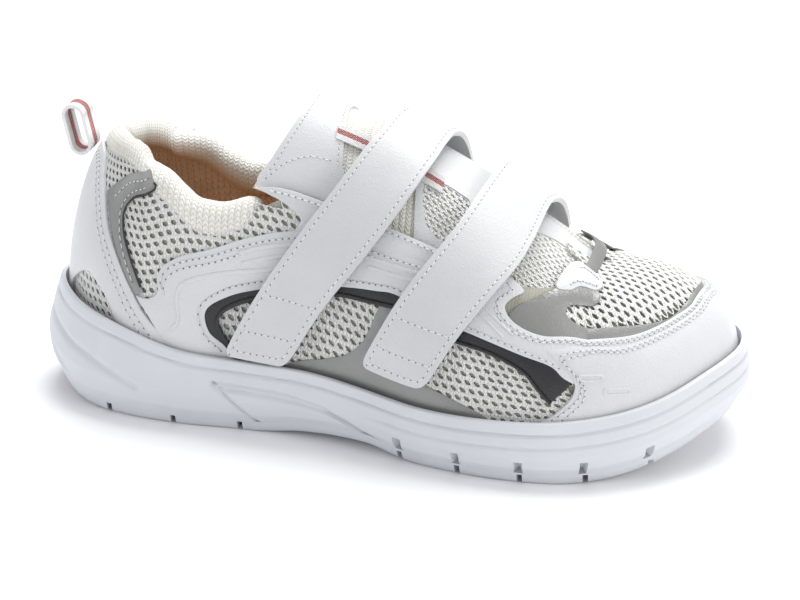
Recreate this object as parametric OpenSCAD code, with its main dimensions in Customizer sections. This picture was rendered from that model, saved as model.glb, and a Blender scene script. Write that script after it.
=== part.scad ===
// Right-foot cheer shoe with two touch-and-close straps, a padded tongue and a padded collar.
// Toe along +X, outer (lateral) side along -Y, ground at z = 0, origin under the middle of the sole.

/* [Overall] */
// Length of the sole, heel to toe
sole_len = 270; // [230:5:300]
// Width of the sole across the ball of the foot
sole_w = 100; // [86:1:114]
// Height of the instep under the ankle strap
instep_h = 113; // [98:1:125]

/* [Sole] */
// Height of the foot bed's floor under the ball of the foot
ball_h = 10; // [9:0.5:14]
// Height of the side wall's rim above the upper's lower edge
rim_up = 10; // [8:0.5:12]
// Thickness of the side wall at its rim
lip_t = 1.6; // [1:0.1:2.4]
// Thickness of the outsole
tread_t = 5; // [3:0.5:5]
// Width of a flex groove in the outsole
sipe_w = 2.6; // [1.5:0.1:4]
// Depth of a flex groove in the outsole
sipe_d = 3.8; // [2:0.1:4]
// Distance between the forefoot's flex grooves
sipe_pitch = 20; // [15:1:24]
// Thickness of the insole board
board_t = 2; // [1.5:0.1:3]
// Thickness of the sock liner over the board
liner_t = 3.5; // [2:0.1:5]

/* [Upper] */
// Thickness of the mesh shell
base_t = 1.2; // [0.8:0.1:1.8]
// Thickness of the shiny accent pieces
accent_t = 0.6; // [0.4:0.1:1]
// Thickness of the leather panels
skin_t = 1; // [0.7:0.1:1.5]
// Thickness of the tongue
tongue_t = 5; // [3:0.5:7]
// Thickness of the padded collar roll
collar_t = 8; // [5:0.5:9]
// Height of the padded collar roll
collar_h = 14; // [10:0.5:18]
// Thickness of the heel and toe stiffeners
stiff_t = 0.9; // [0.6:0.1:1.2]
// Thickness of the heel lining
lining_t = 0.8; // [0.5:0.1:1.2]

/* [Straps] */
// Width of the two straps, measured along the shoe
strap_w = 19; // [15:0.5:22]
// Thickness of the straps
strap_t = 2; // [1.5:0.1:3]
// Thickness of the hook pads under the straps
hook_t = 0.8; // [0.5:0.1:1.2]
// Thickness of the loop pads on the shoe's side
pile_t = 0.5; // [0.4:0.1:0.8]

/* [Pull loop] */
// Width of the heel pull loop's webbing
loop_w = 10; // [8:0.5:14]
// Thickness of the webbing
loop_t = 1.3; // [1:0.1:2]
// Clear gap inside the loop
loop_gap = 6.4; // [5:0.1:9]
// Height of the loop
loop_h = 20; // [18:1:28]

/* [Fits] */
// Clearance between pieces that lie on each other
gap = 0.3; // [0.3:0.05:0.5]
// Clearance between the upper and the sole's wall, which is glued in the real shoe
wall_gap = 0.9; // [0.8:0.1:1.2]
// Clearance at the joints between moving pieces
hinge_gap = 1; // [0.8:0.1:1.6]

/* [Hidden] */

// Scale of the hand-drawn tables, which are drawn for a 270 x 100 mm sole and a 113 mm instep
kx = sole_len / 270;
ky = sole_w / 100;
kz = (instep_h - 19) / 94;
kf = ball_h / 10;
feather_up = board_t + liner_t + 0.5;

// Plan outline of the upper where it meets the sole: 24 stations, 0 at the heel, 12 near the toe,
// counted round the lateral side first. Stations are about 25 mm apart.
OUTLINE = [[-124, 2], [-113, -18], [-94, -28], [-71, -31], [-47, -30], [-22, -31], [2, -35],
  [26, -41], [50, -44], [74, -42], [97, -32], [115, -16], [128, 5], [122, 28], [101, 39], [77, 44],
  [52, 44], [28, 40], [4, 35], [-20, 30], [-45, 29], [-69, 31], [-92, 29], [-112, 21]];
COUNT = len(OUTLINE);
// The spine is the line that the sections fan out from: [x, y] between its two ends
SPINE = [[-86, 2], [-60, 3], [-30, 6], [0, 9], [25, 10], [50, 10], [80, 9]];
// Height of the foot bed's floor, and rise of the ridge above the upper's lower edge, along x
FLOOR = [[-124, 24], [-90, 21], [-60, 19], [-20, 16], [20, 10], [50, 9], [80, 10], [105, 13], [129, 19]];
RISE = [[-86, 91], [-68, 104], [-40, 102], [-20, 98], [0, 94], [20, 88], [40, 77], [60, 63], [80, 50]];
// Roundness of the sections, across and upwards: 2 is an ellipse, more is squarer
ACROSS = [[-86, 1.7], [-60, 2.1], [-40, 2.2], [0, 2.5], [80, 2.5]];
UPWARD = [[-86, 2], [0, 2], [30, 2.1], [60, 2.4], [80, 2.5]];
// Sole: how far its wall stands outside the upper, its rim's extra height and its bottom's height
FLARE = [[0, 11], [1, 10], [2, 7], [3, 6], [6, 6], [12, 7], [18, 6], [21, 6], [22, 7], [23, 10], [24, 11]];
RIM = [[0, 4], [1, 3.5], [2, 1], [3, -3.5], [4, -4], [5, -3], [6, -2], [8, 0], [10, 1.5], [12, 5],
  [14, 1.5], [16, 0], [18, -2], [19, -3], [20, -4], [21, -3.5], [22, 1], [23, 3.5], [24, 4]];
BOTTOM = [[-135, 7], [-116, 1.5], [-104, 0], [-46, 0], [-25, 2.5], [0, 3.2], [14, 1], [24, 0],
  [78, 0], [100, 2.2], [120, 8], [135, 15]];
// The topline: how high the opening's edge runs at each station, 0 at the feather, 1 at the ridge
TOPLINE = [[0, 0.62], [1, 0.62], [2, 0.6], [2.6, 0.5], [3.1, 0.4], [3.6, 0.38], [4.2, 0.44], [4.7, 0.5],
  [5.5, 0.5], [7, 0.53], [8, 0.57], [8.6, 0.66], [9.2, 0.86], [9.8, 0.98]];

// Layers of the upper, as distances outward from the mesh shell's face
shell = [-base_t, 0];
accent = [gap, gap + accent_t];
skin = [accent[1] + gap, accent[1] + gap + skin_t];
pile = [skin[1] + gap, skin[1] + gap + pile_t];
hook = [pile[1] + gap, pile[1] + gap + hook_t];
strap = [hook[1] + 0.1, hook[1] + 0.1 + strap_t];
inner = [-base_t - gap - stiff_t, -base_t - gap];
lining = [inner[0] - gap - lining_t, inner[0] - gap];
tongue = [-base_t - 2 * gap - tongue_t, -base_t - 2 * gap];
web = [tongue[1] + 3 * gap, tongue[1] + 3 * gap + 0.6];
wall_in = skin[1] + wall_gap;
lip = wall_in + lip_t;

// Where the straps cross the shoe: [turn, x] with the turn from -1 (outer sole) over 0 (ridge) to 1
ANKLE = [[-0.96, -42], [-0.8, -29], [-0.62, -14], [-0.42, -1], [-0.2, 7], [0, 10], [0.3, 13], [0.6, 15]];
INSTEP = [[-0.9, 12], [-0.72, 23.5], [-0.55, 33.5], [-0.38, 41], [-0.2, 44.5], [0, 46], [0.3, 48], [0.6, 49]];
strap_turn = 0.2;
ankle_ends = [-1 + 0.05 / kz, 0.52];
instep_ends = [-1 + 0.12 / kz, 0.5];
pad_len = 0.3;
tongue_split = -21;
loop_at = [-116.5, 2, 93];
loop_lean = 12;

// Cubic curve through a table of [key, value] rows, held at its ends
function span(tab, x, i = 0) = i >= len(tab) - 2 || x <= tab[i + 1][0] ? i : span(tab, x, i + 1);
function slope(tab, i) =
  let (a = tab[max(i - 1, 0)], b = tab[min(i + 1, len(tab) - 1)]) (b[1] - a[1]) / (b[0] - a[0]);
function curve(tab, key) =
  let (x = min(max(key, tab[0][0]), tab[len(tab) - 1][0]), i = span(tab, x))
  let (a = tab[i], b = tab[i + 1], h = b[0] - a[0], t = (x - a[0]) / h)
  (1 + 2 * t) * (1 - t) * (1 - t) * a[1] + t * (1 - t) * (1 - t) * h * slope(tab, i)
  + t * t * (3 - 2 * t) * b[1] + t * t * (t - 1) * h * slope(tab, i + 1);

// Catmull-Rom step between b and c
function blend(a, b, c, d, t) =
  0.5 * (2 * b + (c - a) * t + (2 * a - 5 * b + 4 * c - d) * t * t + (3 * b - a - 3 * c + d) * t * t * t);
function wrap(i) = (i + 4 * COUNT) % COUNT;
function plan(s) =
  let (i = floor(s), t = s - i)
  blend(OUTLINE[wrap(i - 1)], OUTLINE[wrap(i)], OUTLINE[wrap(i + 1)], OUTLINE[wrap(i + 2)], t);
function unit(v) = v / norm(v);

// The last: station s round the outline, height share t from the feather (0) to the ridge (1)
function floor_z(x) = curve(FLOOR, x) * kf;
function feather_z(x) = floor_z(x) + feather_up;
function spine(x) = min(max(x, SPINE[0][0]), SPINE[len(SPINE) - 1][0]);
function last(s, t) =
  let (b = plan(s), cx = spine(b[0]), cy = curve(SPINE, cx))
  let (r = pow(cos(90 * t), 2 / curve(ACROSS, cx)), h = pow(sin(90 * t), 2 / curve(UPWARD, cx)))
  let (zf = feather_z(b[0]), zr = feather_z(cx) + curve(RISE, cx) * kz)
  [(cx + (b[0] - cx) * r) * kx, (cy + (b[1] - cy) * r) * ky, zf + (zr - zf) * h];
function ridge(x) = last(seat(x, -1)[0], 1);
function outward(s, t) =
  let (e = 0.01, q = min(max(t, 0.01), 0.985))
  unit(cross(last(s + e, q) - last(s - e, q), last(s, q + e) - last(s, q - e)));
function on_last(s, t, d) =
  t > 0.995
    ? let (x = last(s, 1)[0] / kx, f = ridge(x + 1) - ridge(x - 1)) last(s, 1) + d * unit([-f[2], 0, f[0]])
    : last(s, t) + d * outward(s, t);

// Stations on either side that lie at a given x, so that things can run across the ridge
LATERAL = [for (s = [1.2 : 0.1 : 11.6]) [plan(s)[0], s]];
MEDIAL = [for (s = [22.8 : -0.1 : 12.7]) [plan(s)[0], s]];
function seat(x, side) = [lookup(x, side < 0 ? LATERAL : MEDIAL), side];
// A point over the ridge: x along the shoe, turn -1 to 1 from the lateral to the medial feather
function over(x, turn, d) = on_last(seat(x, turn < 0 ? -1 : 1)[0], 1 - abs(turn), d);

// A point at share u along a list of points, as a smooth curve through them
function along(pts, u) =
  let (n = len(pts) - 1, i = min(floor(u * n), n - 1), t = u * n - i)
  let (b = pts[i], c = pts[i + 1])
  blend(i > 0 ? pts[i - 1] : 2 * b - c, b, c, i < n - 1 ? pts[i + 2] : 2 * c - b, t);

// Closed shell from a grid of outer points and a grid of inner points, both grid[row][column]
module shell_of(outer, inner_grid) {
  rows = len(outer);
  cols = len(outer[0]);
  half = rows * cols;
  function id(side, i, j) = side * half + i * cols + j;
  rim = concat([for (j = [0 : cols - 1]) [0, j]], [for (i = [1 : rows - 1]) [i, cols - 1]],
    [for (j = [cols - 2 : -1 : 0]) [rows - 1, j]], [for (i = [rows - 2 : -1 : 1]) [i, 0]]);
  faces = concat(
    [for (i = [0 : rows - 2], j = [0 : cols - 2], k = [0, 1]) k == 0
      ? [id(0, i, j), id(0, i + 1, j), id(0, i + 1, j + 1)]
      : [id(0, i, j), id(0, i + 1, j + 1), id(0, i, j + 1)]],
    [for (i = [0 : rows - 2], j = [0 : cols - 2], k = [0, 1]) k == 0
      ? [id(1, i, j), id(1, i + 1, j + 1), id(1, i + 1, j)]
      : [id(1, i, j), id(1, i, j + 1), id(1, i + 1, j + 1)]],
    [for (k = [0 : len(rim) - 1], m = [0, 1])
      let (a = rim[k], b = rim[(k + 1) % len(rim)])
      m == 0 ? [id(0, a[0], a[1]), id(0, b[0], b[1]), id(1, b[0], b[1])]
             : [id(0, a[0], a[1]), id(1, b[0], b[1]), id(1, a[0], a[1])]]);
  polyhedron(points = [for (g = [outer, inner_grid], row = g, p = row) p], faces = faces);
}

// A panel on the last between a lower and an upper edge, each a list of [station, height share]
module panel(low, high, layer, nu, nv) {
  function at(u, v, d) = let (a = along(low, u), b = along(high, u), p = a + (b - a) * v) on_last(p[0], p[1], d);
  shell_of([for (v = [0 : nv]) [for (u = [0 : nu]) at(u / nu, v / nv, layer[1])]],
    [for (v = [0 : nv]) [for (u = [0 : nu]) at(u / nu, v / nv, layer[0])]]);
}
// The same edges on the other side of the shoe, in the order that keeps the panel facing outward
function mirrored(edge) = [for (i = [len(edge) - 1 : -1 : 0]) [COUNT - edge[i][0], edge[i][1]]];
module panel_on(side, low, high, layer, nu, nv) {
  if (side < 0) panel(low, high, layer, nu, nv);
  else panel(mirrored(low), mirrored(high), layer, nu, nv);
}

// A band over the ridge between two turns, centred on a [turn, x] table, wide along x, which
// comes sink nearer to the shoe over its length
module band(path, from, to, width, layer, nu, nv = 4, sink = 0) {
  // The band runs down the side at a slant, so it is longer along x there
  function reach(turn) = width / 2 * (1 + 0.3 * min(abs(turn) * 1.6, 1));
  function at(u, v, d) =
    let (turn = from + (to - from) * u)
    over(curve(path, turn) + reach(turn) * (1 - 2 * v), turn, d - sink * u);
  shell_of([for (v = [0 : nv]) [for (u = [0 : nu]) at(u / nu, v / nv, layer[1])]],
    [for (v = [0 : nv]) [for (u = [0 : nu]) at(u / nu, v / nv, layer[0])]]);
}

// A point outside the outline at station s, level z
function beside(s, out, z) =
  let (f = plan(s + 0.02) - plan(s - 0.02), n = unit([f[1] * kx, -f[0] * ky]), p = plan(s))
  [p[0] * kx + n[0] * out, p[1] * ky + n[1] * out, z];
// Closed solid from rings of points round the sole, bottom ring first, with ladder caps
module rings(levels) {
  n = len(levels[0]);
  last_ring = len(levels) - 1;
  function id(r, i) = r * n + i % n;
  faces = concat(
    [for (r = [0 : last_ring - 1], i = [0 : n - 1], k = [0, 1]) k == 0
      ? [id(r, i), id(r + 1, i + 1), id(r, i + 1)] : [id(r, i), id(r + 1, i), id(r + 1, i + 1)]],
    [for (i = [0 : n / 2 - 1], k = [0, 1]) k == 0
      ? [id(0, i), id(0, i + 1), id(0, n - i - 1)] : [id(0, i), id(0, n - i - 1), id(0, n - i)]],
    [for (i = [0 : n / 2 - 1], k = [0, 1]) let (r = last_ring) k == 0
      ? [id(r, i), id(r, n - i - 1), id(r, i + 1)] : [id(r, i), id(r, n - i), id(r, n - i - 1)]]);
  polyhedron(points = [for (ring = levels, p = ring) p],
    faces = [for (f = faces) if (f[0] != f[1] && f[1] != f[2] && f[0] != f[2]) f]);
}
RING = [for (i = [0 : 47]) i / 2];
function bottom_z(s) = max(0, curve(BOTTOM, plan(s)[0] * 1.05));
function rim_z(s) = feather_z(plan(s)[0]) + rim_up + curve(RIM, s);
// Ring of the sole's wall, at share k of its height above the tread
function wall_z(s, k) = (bottom_z(s) + tread_t) * (1 - k) + rim_z(s) * k;
function wall_ring(inset, k) = [for (s = RING) beside(s, curve(FLARE, s) - inset, wall_z(s, k))];

module outsole() {
  color("whitesmoke")
    difference() {
      rings([
        [for (s = RING) beside(s, curve(FLARE, s) - 9, bottom_z(s))],
        [for (s = RING) beside(s, curve(FLARE, s) - 5.5, bottom_z(s))],
        [for (s = RING) beside(s, curve(FLARE, s) - 4.2, bottom_z(s) + 1.5)],
        [for (s = RING) beside(s, curve(FLARE, s) - 3, bottom_z(s) + tread_t)]]);
      // Flex grooves across the forefoot
      for (i = [0 : 4]) groove(22 + i * sipe_pitch, -10 + 4 * i);
      // Bevel grooves across the heel
      for (x = [-104, -78, -52]) groove(x, 6);
    }
}
module groove(x, turn)
  translate([x * kx, 0, curve(BOTTOM, x)])
    rotate([0, 0, turn])
      cube([sipe_w, sole_w * 1.3, 2 * sipe_d], center = true);

module midsole() {
  color("white")
    rings([
      wall_ring(3, 0.003),
      wall_ring(1, 0.14),
      wall_ring(0, 0.36),
      [for (s = RING) beside(s, lip + (curve(FLARE, s) - lip) * 0.55, wall_z(s, 0.78))],
      [for (s = RING) beside(s, lip, rim_z(s))],
      [for (s = RING) beside(s, wall_in, rim_z(s))],
      [for (s = RING) beside(s, wall_in, feather_z(plan(s)[0]) - gap)],
      [for (s = RING) beside(s, 0.5, floor_z(plan(s)[0]))]]);
}

// Flat layer on the foot bed's floor, inset from the outline
module bed_layer(inset, z0, z1)
  rings([
    [for (s = RING) beside(s, -inset, floor_z(plan(s)[0]) + z0)],
    [for (s = RING) beside(s, -inset, floor_z(plan(s)[0]) + z1)]]);
module insole_board() color("tan") bed_layer(base_t + 1.5, 0.1, board_t);
module sock_liner() color("peru") bed_layer(base_t + stiff_t + lining_t + 3, board_t + 0.1, board_t + liner_t);

// Mesh shells. Their top edges follow the topline, a little below the collar roll's top.
QUARTER_LOW = [for (i = [0 : 8]) [i * 0.97 + 0.02, 0]];
QUARTER_HIGH = [for (i = [0 : 8]) let (s = i * 0.97 + 0.02) [s, curve(TOPLINE, s)]];
module quarter(side) color("gainsboro") panel_on(side, QUARTER_LOW, QUARTER_HIGH, shell, 24, 7);
module quarter_lateral() quarter(-1);
module quarter_medial() quarter(1);
VAMP_S = [for (i = [0 : 16]) 7.83 + i * (24 - 2 * 7.83) / 16];
function vamp_top(s) = curve(TOPLINE, s < 12 ? s : COUNT - s);
module vamp_mesh()
  color("gainsboro")
    panel([for (s = VAMP_S) [s, 0]], [for (s = VAMP_S) [s, vamp_top(s)]], shell, 32, 8);

// Stiffeners and lining, inside the mesh shell
module heel_counter()
  color("lightgray") panel([for (s = [-3 : 1 : 3]) [s, 0.02]], [for (s = [-3 : 1 : 3]) [s, 0.3 - 0.02 * abs(s)]], inner, 18, 4);
module toe_puff()
  color("lightgray") panel([for (s = [10 : 14.2]) [s, 0.02]], [for (s = [10 : 14.2]) [s, 0.42]], inner, 16, 4);
module heel_lining()
  color("sandybrown")
    panel([for (s = [-4 : 1 : 4]) [s, 0.05]], [for (s = [-4 : 1 : 4]) [s, 0.27]], lining, 24, 3);

// The padded collar: a fat rounded roll inside the topline, from one eyestay round the heel
collar_end = 4.2;
module collar_roll() {
  n = 36;
  sides = 10;
  function at(i) =
    let (s = collar_end * (2 * i / n - 1), t = curve(TOPLINE, abs(s)) - 0.02)
    let (t_dir = unit(last(s, t + 0.01) - last(s, t - 0.01)), n_dir = outward(s, t))
    let (c = on_last(s, t, -base_t - gap - collar_t / 2) - t_dir * (collar_h / 2 - 5))
    [for (k = [0 : sides - 1]) let (a = 360 * k / sides)
      c + n_dir * cos(a) * collar_t / 2 + t_dir * sin(a) * collar_h / 2];
  tube = [for (i = [0 : n]) at(i)];
  function id(i, k) = i * sides + k % sides;
  color("ivory")
    polyhedron(points = [for (r = tube, p = r) p], faces = concat(
      [for (i = [0 : n - 1], k = [0 : sides - 1], m = [0, 1]) m == 0
        ? [id(i, k), id(i, k + 1), id(i + 1, k + 1)] : [id(i, k), id(i + 1, k + 1), id(i + 1, k)]],
      [for (k = [1 : sides - 2]) [id(0, 0), id(0, k + 1), id(0, k)]],
      [for (k = [1 : sides - 2]) [id(n, 0), id(n, k), id(n, k + 1)]]));
}

// Leather panels
FOX_TOP = [[2.75, 0.05], [2.3, 0.17], [1.8, 0.36], [1.3, 0.5], [0.6, 0.54], [0, 0.55]];
module heel_foxing()
  color("white")
    panel([for (i = [-5 : 5]) [FOX_TOP[5 - abs(i)][0] * sign(i), 0]],
      [for (i = [-5 : 5]) let (p = FOX_TOP[5 - abs(i)]) [p[0] * sign(i), p[1]]], skin, 30, 6);
TOE_HALF = [[8.95, 0.36], [9.4, 0.41], [10, 0.4], [10.6, 0.42], [11.2, 0.46], [11.6, 0.52], [12, 0.6]];
module toe_cap()
  color("white")
    panel(concat([for (p = TOE_HALF) [p[0], 0]], [for (p = mirrored(TOE_HALF)) if (p[0] > 12) [p[0], 0]]),
      concat(TOE_HALF, [for (p = mirrored(TOE_HALF)) if (p[0] > 12) p]), skin, 36, 6);
SIDE_LOW = [[2.95, 0], [3.3, 0.02], [3.5, 0.14], [3.8, 0.19], [4.4, 0.24], [5.4, 0.29], [6.4, 0.33],
  [7.4, 0.34], [8.3, 0.31], [8.85, 0.25]];
SIDE_HIGH = [[2.65, 0.15], [2.8, 0.22], [3.2, 0.27], [3.7, 0.31], [4.4, 0.36], [5.4, 0.41], [6.4, 0.42],
  [7.4, 0.43], [8.2, 0.42], [8.8, 0.37]];
module side_panel(side) color("white") panel_on(side, SIDE_LOW, SIDE_HIGH, skin, 28, 3);
module side_panel_lateral() side_panel(-1);
module side_panel_medial() side_panel(1);
EYE_LOW = [[4.35, 0.38], [5, 0.42], [6, 0.44], [7, 0.45], [8, 0.45]];
EYE_HIGH = [[4.3, 0.45], [5, 0.49], [6, 0.49], [7, 0.52], [8, 0.55]];
module eyestay(side) color("whitesmoke") panel_on(side, EYE_LOW, EYE_HIGH, skin, 20, 2);
module eyestay_lateral() eyestay(-1);
module eyestay_medial() eyestay(1);

// Shiny and black accent pieces, in the layer under the panels' edges
module collar_accent(side)
  color("silver")
    panel_on(side, [[1.55, 0.4], [1.75, 0.3], [2.05, 0.2], [2.35, 0.12]],
      [[2.5, 0.48], [2.15, 0.36], [2.25, 0.27], [2.6, 0.13]], accent, 12, 3);
module collar_accent_lateral() collar_accent(-1);
module collar_accent_medial() collar_accent(1);
module midfoot_accent(side)
  color("silver")
    panel_on(side, [[4.6, 0.03], [5.2, 0.03], [5.8, 0.04], [6.4, 0.05], [7, 0.05], [7.6, 0.05]],
      [[4.7, 0.07], [5.3, 0.1], [5.8, 0.17], [6.3, 0.28], [6.9, 0.13], [7.6, 0.08]], accent, 16, 3);
module midfoot_accent_lateral() midfoot_accent(-1);
module midfoot_accent_medial() midfoot_accent(1);
module throat_saddle()
  color("silver")
    panel([[8.4, 0.47], [9, 0.48], [10, 0.48], [11, 0.49], [13, 0.49], [14, 0.48], [15, 0.48], [15.6, 0.47]],
      [[8.75, 0.62], [9.2, 0.7], [10, 0.56], [11, 0.54], [13, 0.54], [14, 0.56], [14.8, 0.7], [15.25, 0.62]],
      accent, 36, 3);
module throat_tab()
  color("white")
    panel([[9.05, 0.76], [10, 0.8], [11, 0.82], [12.8, 0.82], [13.8, 0.8], [14.85, 0.76]],
      [[9.3, 0.92], [10, 0.97], [11, 0.98], [12.8, 0.98], [13.8, 0.97], [14.6, 0.92]], skin, 16, 3);
module window_trim_rear(side)
  color("dimgray")
    panel_on(side, [[4.6, 0.2], [4.1, 0.18], [3.8, 0.13], [3.9, 0.08], [4.1, 0.03]],
      [[4.6, 0.225], [3.95, 0.215], [3.55, 0.14], [3.6, 0.07], [3.85, 0.02]], accent, 14, 2);
module window_trim_rear_lateral() window_trim_rear(-1);
module window_trim_rear_medial() window_trim_rear(1);
module window_trim_front(side)
  color("dimgray")
    panel_on(side, [[7.4, 0.29], [7.9, 0.27], [8.4, 0.21], [8.75, 0.14]],
      [[7.4, 0.32], [8, 0.31], [8.6, 0.28], [8.95, 0.2]], accent, 14, 2);
module window_trim_front_lateral() window_trim_front(-1);
module window_trim_front_medial() window_trim_front(1);

// The tongue: one part stays under the straps, the top part folds forward at the split line
tongue_turn = 0.53;
module tongue_part(x0, x1, turn0, turn1, nu, nv) {
  function at(u, v, d) = let (x = x0 + (x1 - x0) * u) over(x, (turn0 + (turn1 - turn0) * u) * (1 - 2 * v), d);
  color("ivory")
    shell_of([for (v = [0 : nv]) [for (u = [0 : nu]) at(u / nu, 1 - v / nv, tongue[1])]],
      [for (v = [0 : nv]) [for (u = [0 : nu]) at(u / nu, 1 - v / nv, tongue[0])]]);
}
module tongue_base() tongue_part(tongue_split + hinge_gap / 2, 78, tongue_turn, 0.46, 22, 12);
module tongue_top() tongue_part(-41, tongue_split - hinge_gap / 2, 0.46, tongue_turn - 0.04, 8, 12);
// A strap keeper of webbing along the tongue, on the lateral side of its ridge
module tongue_web() {
  function at(u, v, d) = over(-17 + 41 * u, -0.27 + 0.14 * (1 - v), d);
  columns = [0 : 16];
  rows = [0 : 4];
  color("white")
    shell_of([for (v = rows) [for (u = columns) at(u / 16, v / 4, web[1])]],
      [for (v = rows) [for (u = columns) at(u / 16, v / 4, web[0])]]);
}

// Straps: each turns open about a line across it, on the medial shoulder, next to its anchor
half_gap = hinge_gap / 200;
module strap_body(path, ends) band(path, ends[0], strap_turn - half_gap, strap_w, strap, 26);
module strap_anchor(path, ends)
  band(path, strap_turn + half_gap, ends[1], strap_w, strap, 8, sink = strap[0] - pile[0]);
module hook_pad(path, ends) band(path, ends[0] + 0.03, ends[0] + pad_len, strap_w - 3, hook, 8);
module pile_pad(path, ends) band(path, ends[0] + 0.05, ends[0] + pad_len + 0.15, strap_w - 4, pile, 10, 2);
module ankle_strap() color("gainsboro") strap_body(ANKLE, ankle_ends);
module ankle_strap_anchor() color("gainsboro") strap_anchor(ANKLE, ankle_ends);
module ankle_hook_pad() color("dimgray") hook_pad(ANKLE, ankle_ends);
module ankle_loop_pad() color("white") pile_pad(ANKLE, ankle_ends);
module instep_strap() color("gainsboro") strap_body(INSTEP, instep_ends);
module instep_strap_anchor() color("gainsboro") strap_anchor(INSTEP, instep_ends);
module instep_hook_pad() color("dimgray") hook_pad(INSTEP, instep_ends);
module instep_loop_pad() color("white") pile_pad(INSTEP, instep_ends);

// Heel pull loop: webbing folded into a standing ring behind the collar
module stadium(w, h, r) {
  hull()
    for (y = [-h / 2 + r, h / 2 - r])
      translate([0, y])
        intersection() {
          circle(r = r, $fn = 32);
          square([w, 2 * r], center = true);
        }
}
module pull_loop() {
  outer_w = loop_gap + 2 * loop_t;
  color("white")
    translate([loop_at[0] * kx, loop_at[1] * ky, loop_at[2]])
      rotate([90, -loop_lean, 0])
        translate([0, loop_h / 2])
          linear_extrude(loop_w, center = true)
            difference() {
              stadium(outer_w, loop_h, outer_w / 2);
              stadium(loop_gap, loop_h - 2 * loop_t, loop_gap / 2);
            }
}

outsole();
midsole();
insole_board();
sock_liner();
quarter_lateral();
quarter_medial();
vamp_mesh();
heel_counter();
toe_puff();
heel_lining();
collar_roll();
heel_foxing();
toe_cap();
side_panel_lateral();
side_panel_medial();
eyestay_lateral();
eyestay_medial();
collar_accent_lateral();
collar_accent_medial();
midfoot_accent_lateral();
midfoot_accent_medial();
throat_saddle();
throat_tab();
window_trim_rear_lateral();
window_trim_front_lateral();
window_trim_rear_medial();
window_trim_front_medial();
tongue_base();
tongue_web();
tongue_top();
ankle_strap();
ankle_strap_anchor();
ankle_hook_pad();
ankle_loop_pad();
instep_strap();
instep_strap_anchor();
instep_hook_pad();
instep_loop_pad();
pull_loop();
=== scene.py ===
# %% [markdown]
# # A cheer shoe for the right foot
# The shoe is made the way a shoemaker makes one. Each piece is cut flat, gets its edge, its
# stitches and its piping while it is flat, and is then pulled over a last, which is the wooden
# foot that gives the shoe its shape. Here the last is a formula, so pulling a piece over it means
# moving every point of a flat mesh to the place that the formula gives.

# %% Load the frame
import math
import bmesh
import bpy
import numpy as np
from mathutils import Matrix, Vector
from mathutils.kdtree import KDTree


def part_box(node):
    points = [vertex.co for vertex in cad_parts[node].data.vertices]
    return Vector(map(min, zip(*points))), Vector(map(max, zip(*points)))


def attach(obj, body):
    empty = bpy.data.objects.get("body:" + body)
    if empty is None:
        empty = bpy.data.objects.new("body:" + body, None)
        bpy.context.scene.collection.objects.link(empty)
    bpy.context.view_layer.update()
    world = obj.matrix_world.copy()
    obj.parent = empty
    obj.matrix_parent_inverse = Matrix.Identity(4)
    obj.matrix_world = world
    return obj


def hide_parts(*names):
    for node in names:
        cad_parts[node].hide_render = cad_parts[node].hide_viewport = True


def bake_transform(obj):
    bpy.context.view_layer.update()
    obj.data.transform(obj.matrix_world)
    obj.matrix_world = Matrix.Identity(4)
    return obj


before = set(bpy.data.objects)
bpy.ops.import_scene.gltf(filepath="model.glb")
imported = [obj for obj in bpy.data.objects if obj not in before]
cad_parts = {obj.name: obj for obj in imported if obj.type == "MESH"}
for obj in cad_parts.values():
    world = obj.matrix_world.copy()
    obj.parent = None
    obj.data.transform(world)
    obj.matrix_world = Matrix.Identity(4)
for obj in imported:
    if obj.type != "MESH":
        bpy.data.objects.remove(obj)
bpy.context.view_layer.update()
MM = 0.001
sole_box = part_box("midsole")
print("sole is", round((sole_box[1].x - sole_box[0].x) / MM, 1), "mm long")

# %% [markdown]
# ## The last
# A foot has no simple shape, so the last is described by a few short tables in millimetres. One
# table is the outline where the upper meets the sole, as 24 stations counted from the heel round
# the outer side to the toe and back. Others give the ridge's rise and how round the sections are.
# Between the rows a smooth curve is drawn, so a dozen numbers make a whole flowing surface.

# %% The tables of the last
OUTLINE = np.array([
    (-124, 2), (-113, -18), (-94, -28), (-71, -31), (-47, -30), (-22, -31), (2, -35), (26, -41),
    (50, -44), (74, -42), (97, -32), (115, -16), (128, 5), (122, 28), (101, 39), (77, 44), (52, 44),
    (28, 40), (4, 35), (-20, 30), (-45, 29), (-69, 31), (-92, 29), (-112, 21)], float)
STATIONS = len(OUTLINE)
TOE = STATIONS // 2
SPINE = [(-86, 2), (-60, 3), (-30, 6), (0, 9), (25, 10), (50, 10), (80, 9)]
FLOOR = [(-124, 24), (-90, 21), (-60, 19), (-20, 16), (20, 10), (50, 9), (80, 10), (105, 13), (129, 19)]
RISE = [(-86, 91), (-68, 104), (-40, 102), (-20, 98), (0, 94), (20, 88), (40, 77), (60, 63), (80, 50)]
ACROSS = [(-86, 1.7), (-60, 2.1), (-40, 2.2), (0, 2.5), (80, 2.5)]
UPWARD = [(-86, 2), (0, 2), (30, 2.1), (60, 2.4), (80, 2.5)]
FEATHER_UP = 6
TOPLINE = [(0, 0.62), (1, 0.62), (2, 0.6), (2.6, 0.5), (3.1, 0.4), (3.6, 0.38), (4.2, 0.44), (4.7, 0.5),
           (5.5, 0.5), (7, 0.53), (8, 0.57), (8.6, 0.66), (9.2, 0.86), (9.8, 0.98)]


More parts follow.
